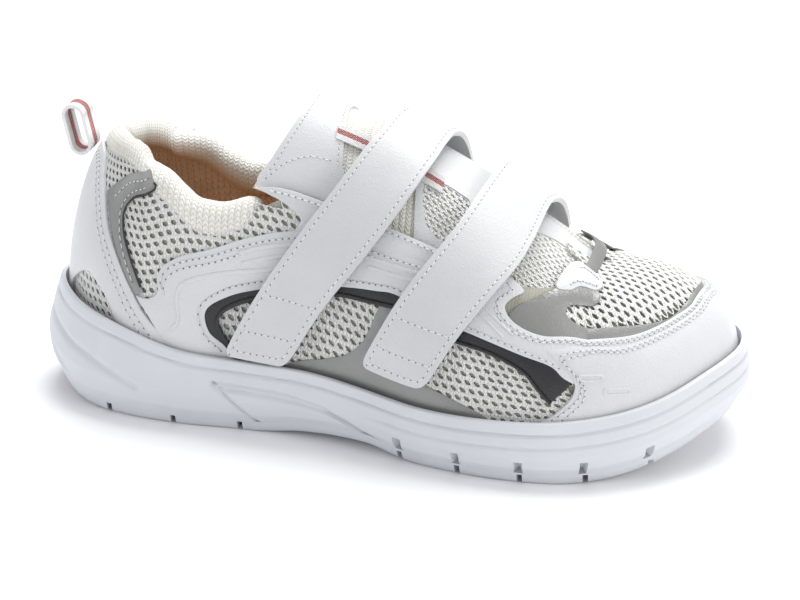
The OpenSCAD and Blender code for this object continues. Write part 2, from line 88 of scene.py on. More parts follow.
# %% Reading a table as a smooth curve
def curve_at(table, key):
    """A smooth curve through the rows of a table, read at key. It runs level past both ends."""
    rows = np.array(table, float)
    keys, values = rows[:, 0], rows[:, 1]
    slopes = np.empty(len(keys))
    slopes[1:-1] = (values[2:] - values[:-2]) / (keys[2:] - keys[:-2])
    slopes[0] = (values[1] - values[0]) / (keys[1] - keys[0])
    slopes[-1] = (values[-1] - values[-2]) / (keys[-1] - keys[-2])
    x = np.clip(np.asarray(key, float), keys[0], keys[-1])
    i = np.clip(np.searchsorted(keys, x, side="right") - 1, 0, len(keys) - 2)
    h = keys[i + 1] - keys[i]
    t = (x - keys[i]) / h
    start = (1 + 2 * t) * (1 - t) ** 2 * values[i] + t * (1 - t) ** 2 * h * slopes[i]
    return start + t * t * (3 - 2 * t) * values[i + 1] + t * t * (t - 1) * h * slopes[i + 1]


def between(a, b, c, d, t):
    """A point of the curve through a, b, c and d, at the share t of the way from b to c."""
    bend = 2 * a - 5 * b + 4 * c - d
    twist = 3 * b - a - 3 * c + d
    return 0.5 * (2 * b + (c - a) * t + bend * t ** 2 + twist * t ** 3)


def plan(station):
    """The place in plan, in mm, of a station on the edge between the upper and the sole."""
    s = np.asarray(station, float) % STATIONS
    i = np.floor(s).astype(int)
    a, b, c, d = (OUTLINE[(i + k) % STATIONS] for k in (-1, 0, 1, 2))
    return between(a, b, c, d, (s - i)[..., None])


print("heel of the upper at", plan(0.0), "toe at", plan(TOE))

# %% [markdown]
# ## Points on the last
# A point is named by its station and its rise, which is 0 at the sole's edge and 1 on the ridge.
# The section there is a superellipse: an ellipse with a power other than 2, which makes it a
# little squarer. Layers lie outside each other, so a third number is the height above the last,
# measured square to the surface.

# %% Points on the last
def feather_z(x):
    """Height of the edge between the upper and the sole."""
    return curve_at(FLOOR, x) + FEATHER_UP


def last_point(station, rise):
    """The place in mm of a station and a rise on the bare last."""
    edge = plan(station)
    x = np.clip(edge[..., 0], SPINE[0][0], SPINE[-1][0])
    y = curve_at(SPINE, x)
    turn = np.radians(90 * np.clip(rise, -0.3, 1))
    out = np.cos(turn).clip(0) ** (2 / curve_at(ACROSS, x))
    up = np.sign(turn) * np.abs(np.sin(turn)) ** (2 / curve_at(UPWARD, x))
    low = feather_z(edge[..., 0])
    top = feather_z(x) + curve_at(RISE, x)
    return np.stack([x + (edge[..., 0] - x) * out, y + (edge[..., 1] - y) * out, low + (top - low) * up],
                    -1)


def unit(n):
    return n / np.linalg.norm(n, axis=-1, keepdims=True)


def outward(station, rise):
    """The direction square to the last, from two short steps along its surface."""
    e = 0.01
    r = np.clip(rise, 0.012, 0.985)
    along = last_point(station + e, r) - last_point(station - e, r)
    up = last_point(station, r + e) - last_point(station, r - e)
    return unit(np.cross(along, up))


def on_last(station, rise, height):
    return last_point(station, rise) + outward(station, rise) * np.asarray(height)[..., None]


# %% Points over the ridge
LATERAL = np.array([(plan(s)[0], s) for s in np.arange(1.2, 11.65, 0.1)])
MEDIAL = np.array([(plan(s)[0], s) for s in np.arange(22.8, 12.6, -0.1)])
CROWN = 0.12


def station_at(x, flank):
    """The station that lies at x on one flank, LATERAL or MEDIAL."""
    return np.interp(x, flank[:, 0], flank[:, 1])


def over_ridge(x, turn, height):
    """x along the shoe, turn -1 to 1 from the outer feather over the ridge to the inner one.
    The two flanks meet on the ridge at an angle, so within CROWN of it the direction is eased."""
    station = np.where(turn < 0, station_at(x, LATERAL), station_at(x, MEDIAL))
    rise = 1 - np.abs(turn)
    on_flank = np.clip(np.abs(turn) / CROWN, 0, 1)[..., None]
    top = 1.0 + 0 * x
    slope = last_point(station_at(x + 1, LATERAL), top) - last_point(station_at(x - 1, LATERAL), top)
    ridge = unit(np.stack([-slope[..., 2], 0 * x, slope[..., 0]], -1))
    n = unit(outward(station, rise) * on_flank + ridge * (1 - on_flank))
    return last_point(station, rise) + n * np.asarray(height)[..., None]


def ridge_point(x, turn, height):
    """One such point, in metres."""
    return over_ridge(np.array(x), np.array(turn), np.array(height)) * MM


# %% Points on the toe's top
def cap_height(x, y):
    """Height of the last above a point of the plan, for the broad top of the toe. Behind the
    ridge's end a section is measured square to it, and before the end along a fan of rays."""
    tip = SPINE[-1]
    cx = np.clip(x, SPINE[0][0], tip[0])
    cy = curve_at(SPINE, cx)
    rim = plan(np.linspace(0, STATIONS, 2401)[:-1])
    fan = x > tip[0]
    angle = np.arctan2(rim[:, 1] - tip[1], rim[:, 0] - tip[0])
    front = np.abs(angle) < math.radians(100)
    order = np.argsort(angle[front])
    angles = angle[front][order]
    reach = np.hypot(rim[:, 0] - tip[0], rim[:, 1] - tip[1])[front][order]
    here = np.arctan2(y - cy, np.maximum(x - cx, 0) + 1e-9)
    fan_r = np.hypot(x - cx, y - cy) / np.interp(here, angles, reach)
    edge_x = np.where(fan, np.interp(here, angles, rim[front][order][:, 0]), x)
    outer = cy - np.interp(x, LATERAL[:, 0], plan(LATERAL[:, 1])[:, 1])
    inner = np.interp(x, MEDIAL[:, 0], plan(MEDIAL[:, 1])[:, 1]) - cy
    r = np.clip(np.where(fan, fan_r, np.abs(y - cy) / np.where(y < cy, outer, inner)), 0, 0.999)
    low = feather_z(edge_x)
    top = feather_z(cx) + curve_at(RISE, cx)
    up = (1 - r ** curve_at(ACROSS, cx)) ** (1 / curve_at(UPWARD, cx))
    return low + (top - low) * up


def on_cap(x, y, height):
    e = 0.6
    z = cap_height(x, y)
    dx = (cap_height(x + e, y) - cap_height(x - e, y)) / (2 * e)
    dy = (cap_height(x, y + e) - cap_height(x, y - e)) / (2 * e)
    n = unit(np.stack([-dx, -dy, np.ones_like(dx)], -1))
    return np.stack([x, y, z], -1) + n * np.asarray(height)[..., None]


print("ridge over the ankle, in metres", ridge_point(0.0, 0.0, 0.0).round(4))

# %% [markdown]
# ## Cutting and pulling over
# Flat patterns are drawn in millimetres. Three kinds are used: side patterns run along the
# outline, saddle patterns run across the ridge, and cap patterns are the plan of the toe's top.
# The flat size of one station is 24.6 mm and of one full rise is 100 mm, so a pattern has nearly
# its true size and a stitch drawn on it keeps its length.

# %% Pulling a flat mesh over the last
STATION_MM = 24.6
RISE_MM = 100.0
UV_SCALE = 0.01


def on_shape(kind, p):
    """Where the flat points p of a pattern come to lie, in mm."""
    x, y, height = p[:, 0], p[:, 1], p[:, 2]
    if kind == "side":
        return on_last(x / STATION_MM, y / RISE_MM, height)
    if kind == "saddle":
        return over_ridge(x, y / RISE_MM, height)
    return on_cap(x, y, height) if kind == "cap" else p


def pull_over(bm, kind):
    """Moves a flat pattern in mm onto the last, in metres. Its flat place stays as its UV map."""
    bm.verts.ensure_lookup_table()
    flat = np.array([v.co[:] for v in bm.verts])
    uv = bm.loops.layers.uv.verify()
    for face in bm.faces:
        for loop in face.loops:
            co = loop.vert.co
            loop[uv].uv = (co.x * UV_SCALE, co.y * UV_SCALE)
    for v, co in zip(bm.verts, on_shape(kind, flat) * MM):
        v.co = co


# %% Making an object of a finished mesh
def mesh_from(bm, name):
    mesh = bpy.data.meshes.new(name)
    bm.to_mesh(mesh)
    bm.free()
    return mesh


def place_object(name, data):
    added = bpy.data.objects.new(name, data)
    bpy.context.scene.collection.objects.link(added)
    return added


def finish_piece(bm, name, body, material, slot, stands_for=(), smooth_angle=35):
    """body is None for a piece that is left without a body."""
    bmesh.ops.recalc_face_normals(bm, faces=bm.faces)
    mesh = mesh_from(bm, name)
    mesh.polygons.foreach_set("use_smooth", [True] * len(mesh.polygons))
    mesh.set_sharp_from_angle(angle=math.radians(smooth_angle))
    mesh.materials.append(material)
    piece = place_object(name, mesh)
    if body:
        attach(piece, body)
    if stands_for:
        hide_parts(*stands_for)
    return piece


# %% Drawing smooth outlines
def curve_through(q, per):
    """The smooth run from the first point of q to just before the last, per steps a span."""
    ends = [2 * q[0] - q[1], *q, 2 * q[-1] - q[-2]]
    return [tuple(between(*ends[i:i + 4], k / per)) for i in range(len(q) - 1) for k in range(per)]


def smooth_line(points, closed=False, per=7):
    """A curve through the points. A third entry, 1, marks a sharp corner."""
    pts = [(p[0], p[1], len(p) > 2) for p in points]
    corners = [i for i, p in enumerate(pts) if p[2]]
    if closed and not corners:
        ring = np.array([p[:2] for p in pts], float)
        n = len(ring)
        return [tuple(between(ring[i - 1], ring[i], ring[(i + 1) % n], ring[(i + 2) % n], k / per))
                for i in range(n) for k in range(per)]
    if closed:
        pts = pts[corners[0]:] + pts[:corners[0]] + [pts[corners[0]]]
    line = []
    run = [pts[0]]
    for i, p in enumerate(pts[1:], 1):
        run.append(p)
        if p[2] or i == len(pts) - 1:
            line += curve_through(np.array([r[:2] for r in run], float), per)
            run = [p]
    return line if closed else [*line, tuple(pts[-1][:2])]


def to_flat(points, kind):
    """Points as station and rise, or x and turn, in the millimetres of the pattern."""
    if kind == "side":
        return [(s * STATION_MM, r * RISE_MM) for s, r in points]
    if kind == "saddle":
        return [(x, t * RISE_MM) for x, t in points]
    if kind == "cap":
        return [tuple(last_point(np.array(float(s)), np.array(float(r)))[:2]) for s, r in points]
    raise ValueError(kind)


# %% Mirroring to the inner side
SIDES = (("lateral", 1), ("medial", -1))


def other_side(points):
    """The same outline on the shoe's inner side."""
    return [(STATIONS - p[0], *p[1:]) for p in reversed(points)]


def on_side(points, side):
    return list(points) if side > 0 else other_side(points)


# %% [markdown]
# ## A panel of leather
# A cut panel is a flat face with a smooth outline. It could be one big face, but then it would
# stay flat between its corners when it is pulled over, so knife cuts along a grid split it into
# small faces first. The face is then extruded to the leather's thickness, and the cut edge is
# rounded with a bevel, because a folded or rolled edge is what catches the light on a real shoe.

# %% Cutting a panel
def cut_flat(outline, kind, holes=(), grid=4.0):
    """A flat sheet of small faces inside the outline, without its holes."""
    bm = bmesh.new()
    for ring in (outline, *holes):
        flat = to_flat(smooth_line(ring, closed=True), kind)
        verts = [bm.verts.new((x, y, 0)) for x, y in flat]
        for a, b in zip(verts, verts[1:] + verts[:1]):
            bm.edges.new((a, b))
    bmesh.ops.triangle_fill(bm, use_beauty=True, use_dissolve=False, edges=bm.edges[:])
    slice_grid(bm, grid)
    return bm


def slice_grid(bm, grid):
    xs = [v.co.x for v in bm.verts]
    ys = [v.co.y for v in bm.verts]
    for normal, low, high in ((Vector((1, 0, 0)), min(xs), max(xs)), (Vector((0, 1, 0)), min(ys), max(ys))):
        for k in range(1, max(1, int((high - low) / grid)) + 1):
            bmesh.ops.bisect_plane(bm, geom=bm.verts[:] + bm.edges[:] + bm.faces[:],
                                   plane_co=normal * (low + k * grid), plane_no=normal)


# %% Giving it a thickness
PUFF_REACH = 2.2


def rim_distance(bm):
    """Distance in mm from each point to the sheet's open edge, through a search tree of that edge."""
    rim = [v.co.copy() for v in bm.verts if any(e.is_boundary for e in v.link_edges)]
    tree = KDTree(len(rim))
    for i, co in enumerate(rim):
        tree.insert(co, i)
    tree.balance()
    return [tree.find(v.co)[2] for v in bm.verts]


def flat_key(v):
    return v.co.to_tuple(3)[:2]


def thicken(bm, low, high, edge=0.45, segments=3, puff=0.0):
    """Gives a flat sheet its thickness, from height low to high, and rounds its upper edge.
    puff is how much lower the sheet lies at its seams than in its middle."""
    from_rim = dict(zip(map(flat_key, bm.verts), rim_distance(bm))) if puff else {}
    for v in bm.verts:
        v.co.z = low
    made = bmesh.ops.extrude_face_region(bm, geom=bm.faces[:], use_keep_orig=True)
    top = {g for g in made["geom"] if isinstance(g, bmesh.types.BMFace)}
    for v in {v for f in top for v in f.verts}:
        v.co.z = high - puff * math.exp(-from_rim.get(flat_key(v), 0.0) / PUFF_REACH)
    bmesh.ops.recalc_face_normals(bm, faces=bm.faces[:])
    rim = [e for e in bm.edges if len(e.link_faces) == 2 and sum(f in top for f in e.link_faces) == 1]
    bmesh.ops.bevel(bm, geom=rim, offset=edge, offset_type="OFFSET", segments=segments, profile=0.5,
                    affect="EDGES", material=-1, clamp_overlap=True)
    return bm


# %% [markdown]
# ## Thread, piping and raised lines
# A row of stitches is many short threads that dip into needle holes. One stitch is a tiny sphere
# drawn out along the seam, and a loop puts one at every step. Dark dots between them are painted
# shade that stands in for the shadow in the needle holes. Piping and embossed lines are round cords
# laid flat on the pattern, made from a curve with a bevel, which Blender sweeps without any help.

# %% Walking along a line
def steps_along(line, step, start=0.0):
    """Points a step apart along a line, each with the direction that the line has there."""
    pts = np.array(line, float)
    run = np.concatenate([[0], np.cumsum(np.hypot(*np.diff(pts, axis=0).T))])
    count = max(1, int((run[-1] - start) / step))
    at = start + np.arange(count + 1) * step
    at = at[at <= run[-1]]
    x, y = np.interp(at, run, pts[:, 0]), np.interp(at, run, pts[:, 1])
    look = 0.4
    ahead = np.minimum(at + look, run[-1])
    back = np.maximum(at - look, 0)
    dx = np.interp(ahead, run, pts[:, 0]) - np.interp(back, run, pts[:, 0])
    dy = np.interp(ahead, run, pts[:, 1]) - np.interp(back, run, pts[:, 1])
    return list(zip(x, y, np.arctan2(dy, dx)))


def inset_line(line, distance):
    """The line moved sideways, to its left when distance is positive."""
    pts = np.array(line, float)
    d = np.gradient(pts, axis=0)
    n = np.stack([-d[:, 1], d[:, 0]], 1)
    n /= np.maximum(np.linalg.norm(n, axis=1, keepdims=True), 1e-9)
    return [tuple(p) for p in pts + n * distance]


# %% Sewing a row of stitches
STITCH_STEP = 2.5
STITCH_SIZE = (1.75, 0.42, 0.52)
# NEEDLE_HOLE is the size of a dark dot, painted shade for the shadow inside a needle hole.
NEEDLE_HOLE = (0.6, 0.56, 0.2)
HOLE_DEPTH = 0.06


def half_sizes(size):
    return Matrix.Diagonal((*(c / 2 for c in size), 1))


def add_stitches(thread, hole, line, height):
    """Each row is made in a mesh of its own and then added, because a small mesh is quick to build."""
    row, hole_shade_dots = bmesh.new(), bmesh.new()
    lying = Matrix.Rotation(math.pi / 2, 4, "Y")
    for x, y, turn in steps_along(line, STITCH_STEP, STITCH_STEP / 2):
        place = Matrix.Translation((x, y, height)) @ Matrix.Rotation(turn, 4, "Z")
        stitch = place @ half_sizes(STITCH_SIZE) @ lying
        bmesh.ops.create_uvsphere(row, u_segments=6, v_segments=4, radius=1, matrix=stitch)
        # The dark dot between two stitches is painted shade for the needle hole, sunk a little into the
        # leather.
        dot = place @ Matrix.Translation((STITCH_STEP / 2, 0, -HOLE_DEPTH)) @ half_sizes(NEEDLE_HOLE)
        bmesh.ops.create_uvsphere(hole_shade_dots, u_segments=6, v_segments=3, radius=1, matrix=dot)
    for small, large in ((row, thread), (hole_shade_dots, hole)):
        mesh = mesh_from(small, "row")
        large.from_mesh(mesh)
        bpy.data.meshes.remove(mesh)


# %% Laying a cord
def add_cord(bm, line, height, radius, squeeze=1.0):
    """A round cord along a flat line, squeezed in height when it is a raised line in leather."""
    data = bpy.data.curves.new("cord_line", "CURVE")
    data.dimensions = "3D"
    spline = data.splines.new("POLY")
    spline.points.add(len(line) - 1)
    for p, (x, y) in zip(spline.points, line):
        p.co = (x, y, 0, 1)
    data.bevel_depth = radius
    data.bevel_resolution = 2
    data.use_fill_caps = True
    holder = bpy.data.objects.new("cord_holder", data)
    mesh = bpy.data.meshes.new_from_object(holder)
    mesh.transform(Matrix.Translation((0, 0, height)) @ Matrix.Diagonal((1, 1, squeeze, 1)))
    bm.from_mesh(mesh)
    bpy.data.meshes.remove(mesh)
    bpy.data.curves.remove(data)


def evenly(points, kind, step=1.5):
    """A smooth line through the points, in pattern millimetres, with a point every step."""
    return [(x, y) for x, y, _ in steps_along(to_flat(smooth_line(points, per=10), kind), step)]


# %% [markdown]
# ## Materials
# Every finish is a small tree of nodes. Effects that several finishes share, such as the grain of
# leather and the loops of a knit, are node groups with named sockets, so each finish places the
# same group with its own numbers.

# %% Helpers for node trees
def new_group(name, inputs, outputs):
    """An empty node group with number sockets. inputs gives each its usual value."""
    tree = bpy.data.node_groups.new(name, "ShaderNodeTree")
    for label, value in inputs:
        socket = tree.interface.new_socket(name=label, in_out="INPUT", socket_type="NodeSocketFloat")
        socket.default_value = value
    for label in outputs:
        tree.interface.new_socket(name=label, in_out="OUTPUT", socket_type="NodeSocketFloat")
    return tree, tree.nodes.new("NodeGroupInput"), tree.nodes.new("NodeGroupOutput")


def feed(tree, socket, value):
    """Puts a number, a colour or another node's output into a socket."""
    if isinstance(value, (int, float)):
        socket.default_value = value
    elif isinstance(value, tuple):
        socket.default_value = (*value, 1)
    else:
        tree.links.new(value, socket)


def maths(tree, operation, *values, clamp=False):
    node = tree.nodes.new("ShaderNodeMath")
    node.operation = operation
    node.use_clamp = clamp
    for socket, value in zip(node.inputs, values):
        feed(tree, socket, value)
    return node.outputs[0]


def times(tree, a, b):
    return maths(tree, "MULTIPLY", a, b)


def textured(tree, kind, vector, **values):
    node = tree.nodes.new(kind)
    for label, value in {"Vector": vector, **values}.items():
        feed(tree, node.inputs[label], value)
    return node


def object_place(tree):
    return tree.nodes.new("ShaderNodeTexCoord").outputs["Object"]


def flat_place(tree):
    """The two axes of the pattern that a piece was cut from, out of its UV map."""
    split = tree.nodes.new("ShaderNodeSeparateXYZ")
    tree.links.new(tree.nodes.new("ShaderNodeUVMap").outputs["UV"], split.inputs["Vector"])
    return split.outputs["X"], split.outputs["Y"]


# %% [markdown]
# Three effects are shared. Grain gives small pores, creases and a broad change of tone. Knit gives
# rows of loops, which are waves in two directions of which one leans. Handling marks are soft
# clouds where a worn shoe is a little darker.

# %% The shared effects: grain, knit and handling marks
def make_grain():
    tree, given, out = new_group("leather grain", [("Scale", 1500.0), ("Pore", 0.5)], ["Height", "Tone"])
    place = object_place(tree)
    cells = textured(tree, "ShaderNodeTexVoronoi", place, Scale=given.outputs["Scale"])
    crease = textured(tree, "ShaderNodeTexNoise", place, Scale=420.0, Detail=4.0)
    broad = textured(tree, "ShaderNodeTexNoise", place, Scale=38.0, Detail=2.0)
    pores = times(tree, cells.outputs["Distance"], given.outputs["Pore"])
    height = maths(tree, "ADD", pores, times(tree, crease.outputs["Fac"], 0.8))
    tree.links.new(height, out.inputs["Height"])
    tree.links.new(broad.outputs["Fac"], out.inputs["Tone"])
    return tree


def wave(tree, value):
    """Rises and falls once for every whole number that value passes."""
    return maths(tree, "ABSOLUTE", maths(tree, "SINE", times(tree, value, math.pi)))


def make_knit():
    tree, given, out = new_group("knit loops", [("Wale", 1.0), ("Course", 1.0)], ["Height", "Gap"])
    u, v = flat_place(tree)
    x = times(tree, u, given.outputs["Wale"])
    y = times(tree, v, given.outputs["Course"])
    lean = times(tree, maths(tree, "PINGPONG", x, 0.5), 1.4)
    wale = maths(tree, "POWER", wave(tree, x), 0.6)
    course = maths(tree, "POWER", wave(tree, maths(tree, "ADD", y, lean)), 0.5)
    height = times(tree, wale, course)
    tree.links.new(height, out.inputs["Height"])
    tree.links.new(maths(tree, "SUBTRACT", 1.0, times(tree, height, 2.2), clamp=True), out.inputs["Gap"])
    return tree


def make_marks():
    tree, given, out = new_group("handling marks", [("Scale", 60.0), ("Amount", 0.5)], ["Mask"])
    cloud = textured(tree, "ShaderNodeTexNoise", object_place(tree), Scale=given.outputs["Scale"],
                     Detail=6.0,
                     Roughness=0.65)
    lifted = maths(tree, "SUBTRACT", cloud.outputs["Fac"], 0.45, clamp=True)
    tree.links.new(times(tree, lifted, times(tree, given.outputs["Amount"], 3.0)), out.inputs["Mask"])
    return tree


GRAIN = make_grain()
KNIT = make_knit()
MARKS = make_marks()
print("shared effects:", GRAIN.name, KNIT.name, MARKS.name)


# %% A finish from a shader and its effects
def use_group(tree, group, **values):
    node = tree.nodes.new("ShaderNodeGroup")
    node.node_tree = group
    for label, value in values.items():
        node.inputs[label].default_value = value
    return node


def mix_colours(tree, factor, a, b):
    node = tree.nodes.new("ShaderNodeMix")
    node.data_type = "RGBA"
    colour_a, colour_b = node.inputs[6], node.inputs[7]
    for socket, value in ((node.inputs["Factor"], factor), (colour_a, a), (colour_b, b)):
        feed(tree, socket, value)
    return node.outputs[2]


def new_finish(name, roughness=0.5, **settings):
    material = bpy.data.materials.new(name)
    material.use_nodes = True
    shader = material.node_tree.nodes["Principled BSDF"]
    shader.inputs["Roughness"].default_value = roughness
    for label, value in settings.items():
        shader.inputs[label].default_value = value
    return material, material.node_tree, shader


def plain_finish(name, roughness, colour):
    material, _, shader = new_finish(name, roughness)
    shader.inputs["Base Color"].default_value = (*colour, 1)
    return material


def bump_from(tree, shader, height, strength, distance):
    node = tree.nodes.new("ShaderNodeBump")
    node.inputs["Strength"].default_value = strength
    node.inputs["Distance"].default_value = distance
    tree.links.new(height, node.inputs["Height"])
    tree.links.new(node.outputs["Normal"], shader.inputs["Normal"])


def darker(colour, share):
    return tuple(c * share for c in colour)


# %% Leather
def leather_finish(name, colour, shade, roughness=0.42, scale=1500.0, bump=0.25, **settings):
    """colour and shade are the two tones between which the leather drifts."""
    material, tree, shader = new_finish(name, roughness, **settings)
    grain = use_group(tree, GRAIN, Scale=scale, Pore=0.9)
    marks = use_group(tree, MARKS, Scale=45.0, Amount=0.25)
    base = mix_colours(tree, grain.outputs["Tone"], shade, colour)
    worn = mix_colours(tree, marks.outputs["Mask"], base, darker(shade, 0.78))
    tree.links.new(worn, shader.inputs["Base Color"])
    rough = maths(tree, "ADD", times(tree, grain.outputs["Tone"], 0.16), roughness - 0.08)
    tree.links.new(rough, shader.inputs["Roughness"])
    bump_from(tree, shader, grain.outputs["Height"], bump, 0.0004)
    return material


white_leather = leather_finish("white leather", (0.67, 0.68, 0.69), (0.61, 0.62, 0.635), roughness=0.38)
strap_leather = leather_finish("strap leather", (0.64, 0.645, 0.65), (0.58, 0.585, 0.595))
silver_leather = leather_finish("silver leather", (0.30, 0.30, 0.29), (0.24, 0.24, 0.235), roughness=0.36,
                                bump=0.15, Metallic=0.3)
black_leather = leather_finish("black leather", (0.022, 0.022, 0.025), (0.012, 0.012, 0.014),
                               roughness=0.45,
                               scale=1100.0)


# %% Knitted and woven cloth
def knit_finish(name, colour, gap_colour, wale, course, bump=0.8, deep=None):
    """deep is a second colour for the side that faces into the shoe, with the two places on the
    UV map's second axis between which it fades out."""
    material, tree, shader = new_finish(name, 0.9)
    knit = use_group(tree, KNIT, Wale=wale, Course=course)
    marks = use_group(tree, MARKS, Scale=70.0, Amount=0.35)
    base = mix_colours(tree, knit.outputs["Gap"], colour, gap_colour)
    if deep:
        deep_colour, fade_start, fade_end = deep
        _, across = flat_place(tree)
        fade = tree.nodes.new("ShaderNodeMapRange")
        fade.inputs["From Min"].default_value = fade_start
        fade.inputs["From Max"].default_value = fade_end
        tree.links.new(across, fade.inputs["Value"])
        outer = maths(tree, "LESS_THAN", across, 0.19)
        pale = maths(tree, "MAXIMUM", fade.outputs["Result"], outer)
        base = mix_colours(tree, pale, deep_colour, base)
    worn = mix_colours(tree, marks.outputs["Mask"], base, darker(gap_colour, 0.8))
    tree.links.new(worn, shader.inputs["Base Color"])
    bump_from(tree, shader, knit.outputs["Height"], bump, 0.0005)
    return material


COLLAR_FADE = ((0.80, 0.52, 0.32), 0.27, 0.36)
white_knit = knit_finish("white knit", (0.82, 0.82, 0.80), (0.55, 0.56, 0.50), 70.0, 70.0)
cream_knit = knit_finish("cream knit", (0.86, 0.85, 0.80), (0.62, 0.59, 0.50), 42.0, 60.0, deep=COLLAR_FADE)
tongue_knit = knit_finish("tongue knit", (0.86, 0.85, 0.79), (0.60, 0.58, 0.46), 42.0, 60.0)
lining_knit = knit_finish("lining knit", (0.86, 0.62, 0.42), (0.62, 0.36, 0.20), 40.0, 50.0)
backing_cloth = knit_finish("backing cloth", (0.46, 0.46, 0.39), (0.34, 0.34, 0.28), 90.0, 90.0, bump=0.4)
thread_finish = plain_finish("thread", 0.6, (0.74, 0.74, 0.73))
# The dark grey of the needle holes is painted shade, the shadow inside each hole.
needle_hole_shade_finish = plain_finish("needle hole painted shade", 0.9, (0.14, 0.14, 0.145))


# %% The sole's rubber
def sole_finish():
    material, tree, shader = new_finish("sole rubber", 0.5)
    grain = use_group(tree, GRAIN, Scale=2600.0, Pore=0.4)
    marks = use_group(tree, MARKS, Scale=30.0, Amount=0.3)
    base = mix_colours(tree, grain.outputs["Tone"], (0.60, 0.625, 0.655), (0.66, 0.68, 0.705))
    worn = mix_colours(tree, marks.outputs["Mask"], base, (0.50, 0.52, 0.56))
    tree.links.new(worn, shader.inputs["Base Color"])
    bump_from(tree, shader, grain.outputs["Height"], 0.12, 0.0003)
    return material


white_rubber = sole_finish()
print("made", len(bpy.data.materials), "finishes")

# %% [markdown]
# ## The sole's wall
# The cup sole is moulded in one piece. Its wall could be lofted between a few outlines, but the
# moulded lines on it need more points than that. So a dense ring of edges is extruded upwards
# step by step, and each ring is moved to the wall's profile, less the depth of any groove there.

# %% The profile of the wall
FLARE = [(0, 11), (1, 10), (2, 7), (3, 6), (6, 6), (12, 7), (18, 6), (21, 6), (22, 7), (23, 10), (24, 11)]
RIM = [(0, 4), (1, 3.5), (2, 1), (3, -3.5), (4, -4), (5, -3), (6, -2), (8, 0), (10, 1.5), (12, 5),
       (14, 1.5),
       (16, 0), (18, -2), (19, -3), (20, -4), (21, -3.5), (22, 1), (23, 3.5), (24, 4)]
BOTTOM = [(-135, 7), (-116, 1.5), (-104, 0), (-46, 0), (-25, 2.5), (0, 3.2), (14, 1), (24, 0), (78, 0),
          (100, 2.2), (120, 8), (135, 15)]
TREAD, RIM_UP, WALL_IN, LIP = 5.0, 10.0, 2.8, 4.7
FOOT = 0.36
TUCK = [(0, 3.0), (0.14, 1.0), (FOOT, 0.0), (1, 0.0)]


def beside(s, out, z):
    """Points beside the upper's outline, out mm away from it, at height z."""
    d = plan(s + 0.02) - plan(s - 0.02)
    n = unit(np.stack([d[:, 1], -d[:, 0]], 1))
    p = plan(s)
    return np.stack([p[:, 0] + n[:, 0] * out, p[:, 1] + n[:, 1] * out, z + 0 * s], 1)


def bottom_z(s):
    return np.maximum(0, curve_at(BOTTOM, plan(s)[..., 0] * 1.05))


def rim_z(s):
    return feather_z(plan(s)[..., 0]) + RIM_UP + curve_at(RIM, s)


def wall_out(s, k):
    """How far the wall stands out at the share k of its height. It is tucked in at the bottom,
    fullest at FOOT, and leans back to the lip at the top."""
    flare = curve_at(FLARE, s)
    low = flare - np.interp(k, *zip(*TUCK))
    rise = np.clip((k - FOOT) / (1 - FOOT), 0, 1)
    return np.where(k < FOOT, low, flare + (LIP - flare) * rise ** 1.15)


# %% The lines moulded into the wall
HEEL_LINES = [[(0.2, 31), (0.8, 28.5), (1.4, 24.5), (2.3, 15)], [(0.0, 25), (0.5, 19), (1.0, 12)]]
ARCH = [(3.55, 20.5), (4.6, 19), (5.3, 16.5), (5.75, 12), (6.25, 5)]
ARCH_REAR = [(3.55, 20.5), (4.25, 4.5)]
ARCH_INNER = [(station + 0.12, height - 1.8) for station, height in ARCH]
FLEX_GROOVES = [(22 + i * 20, -10 + 4 * i) for i in range(5)] + [(-104, 6), (-78, 6), (-52, 6)]
SLOT_UP, SLOT_DEPTH, SLOT_HALF, SLOT_EDGE = 5.5, 3.4, 1.35, 0.6


def groove(distance, width, depth):
    """Depth of a soft groove at a distance from its middle."""
    return depth * np.exp(-(distance / width) ** 2)


def line_distance(s, z, points):
    """Distance in mm, on the flattened wall, from a line through (station, height) points."""
    best = np.full(s.shape, 1e9)
    for (s0, z0), (s1, z1) in zip(points, points[1:]):
        x, y = (s - s0) * STATION_MM, z - z0
        along, up = (s1 - s0) * STATION_MM, z1 - z0
        t = np.clip((x * along + y * up) / (along ** 2 + up ** 2), 0, 1)
        best = np.minimum(best, np.hypot(x - t * along, y - t * up))
    return best


def relief(s, z):
    """How deep the moulded lines and the slots cut into the wall. The slots of the forefoot carry
    on the outsole's flex grooves, and each groove is an (x, angle) pair."""
    side = np.where(s > TOE, STATIONS - s, s)
    below = rim_z(s) - z
    edge = beside(s, curve_at(FLARE, s), 0.0)
    depth = groove(below - 4.6, 0.5, 0.9)
    depth += groove(below - 9.5, 0.5, 0.6) * np.clip((side - 5.9) / 0.5, 0, 1)
    in_slot = z < bottom_z(s) + TREAD + SLOT_UP
    for x, turn in (g for g in FLEX_GROOVES if g[0] > 0):
        away = np.abs(edge[:, 0] - x + np.tan(math.radians(turn)) * edge[:, 1])
        depth += np.where(in_slot, SLOT_DEPTH * np.clip((SLOT_HALF - away) / SLOT_EDGE, 0, 1), 0)
    for line in HEEL_LINES:
        depth += groove(line_distance(side, z, line), 1.3, 1.2)
    for line in (ARCH, ARCH_REAR, ARCH_INNER):
        depth += groove(line_distance(side, z, line), 0.75, 1.2)
    return depth


# %% Extruding the wall, ring by ring
RING = 900


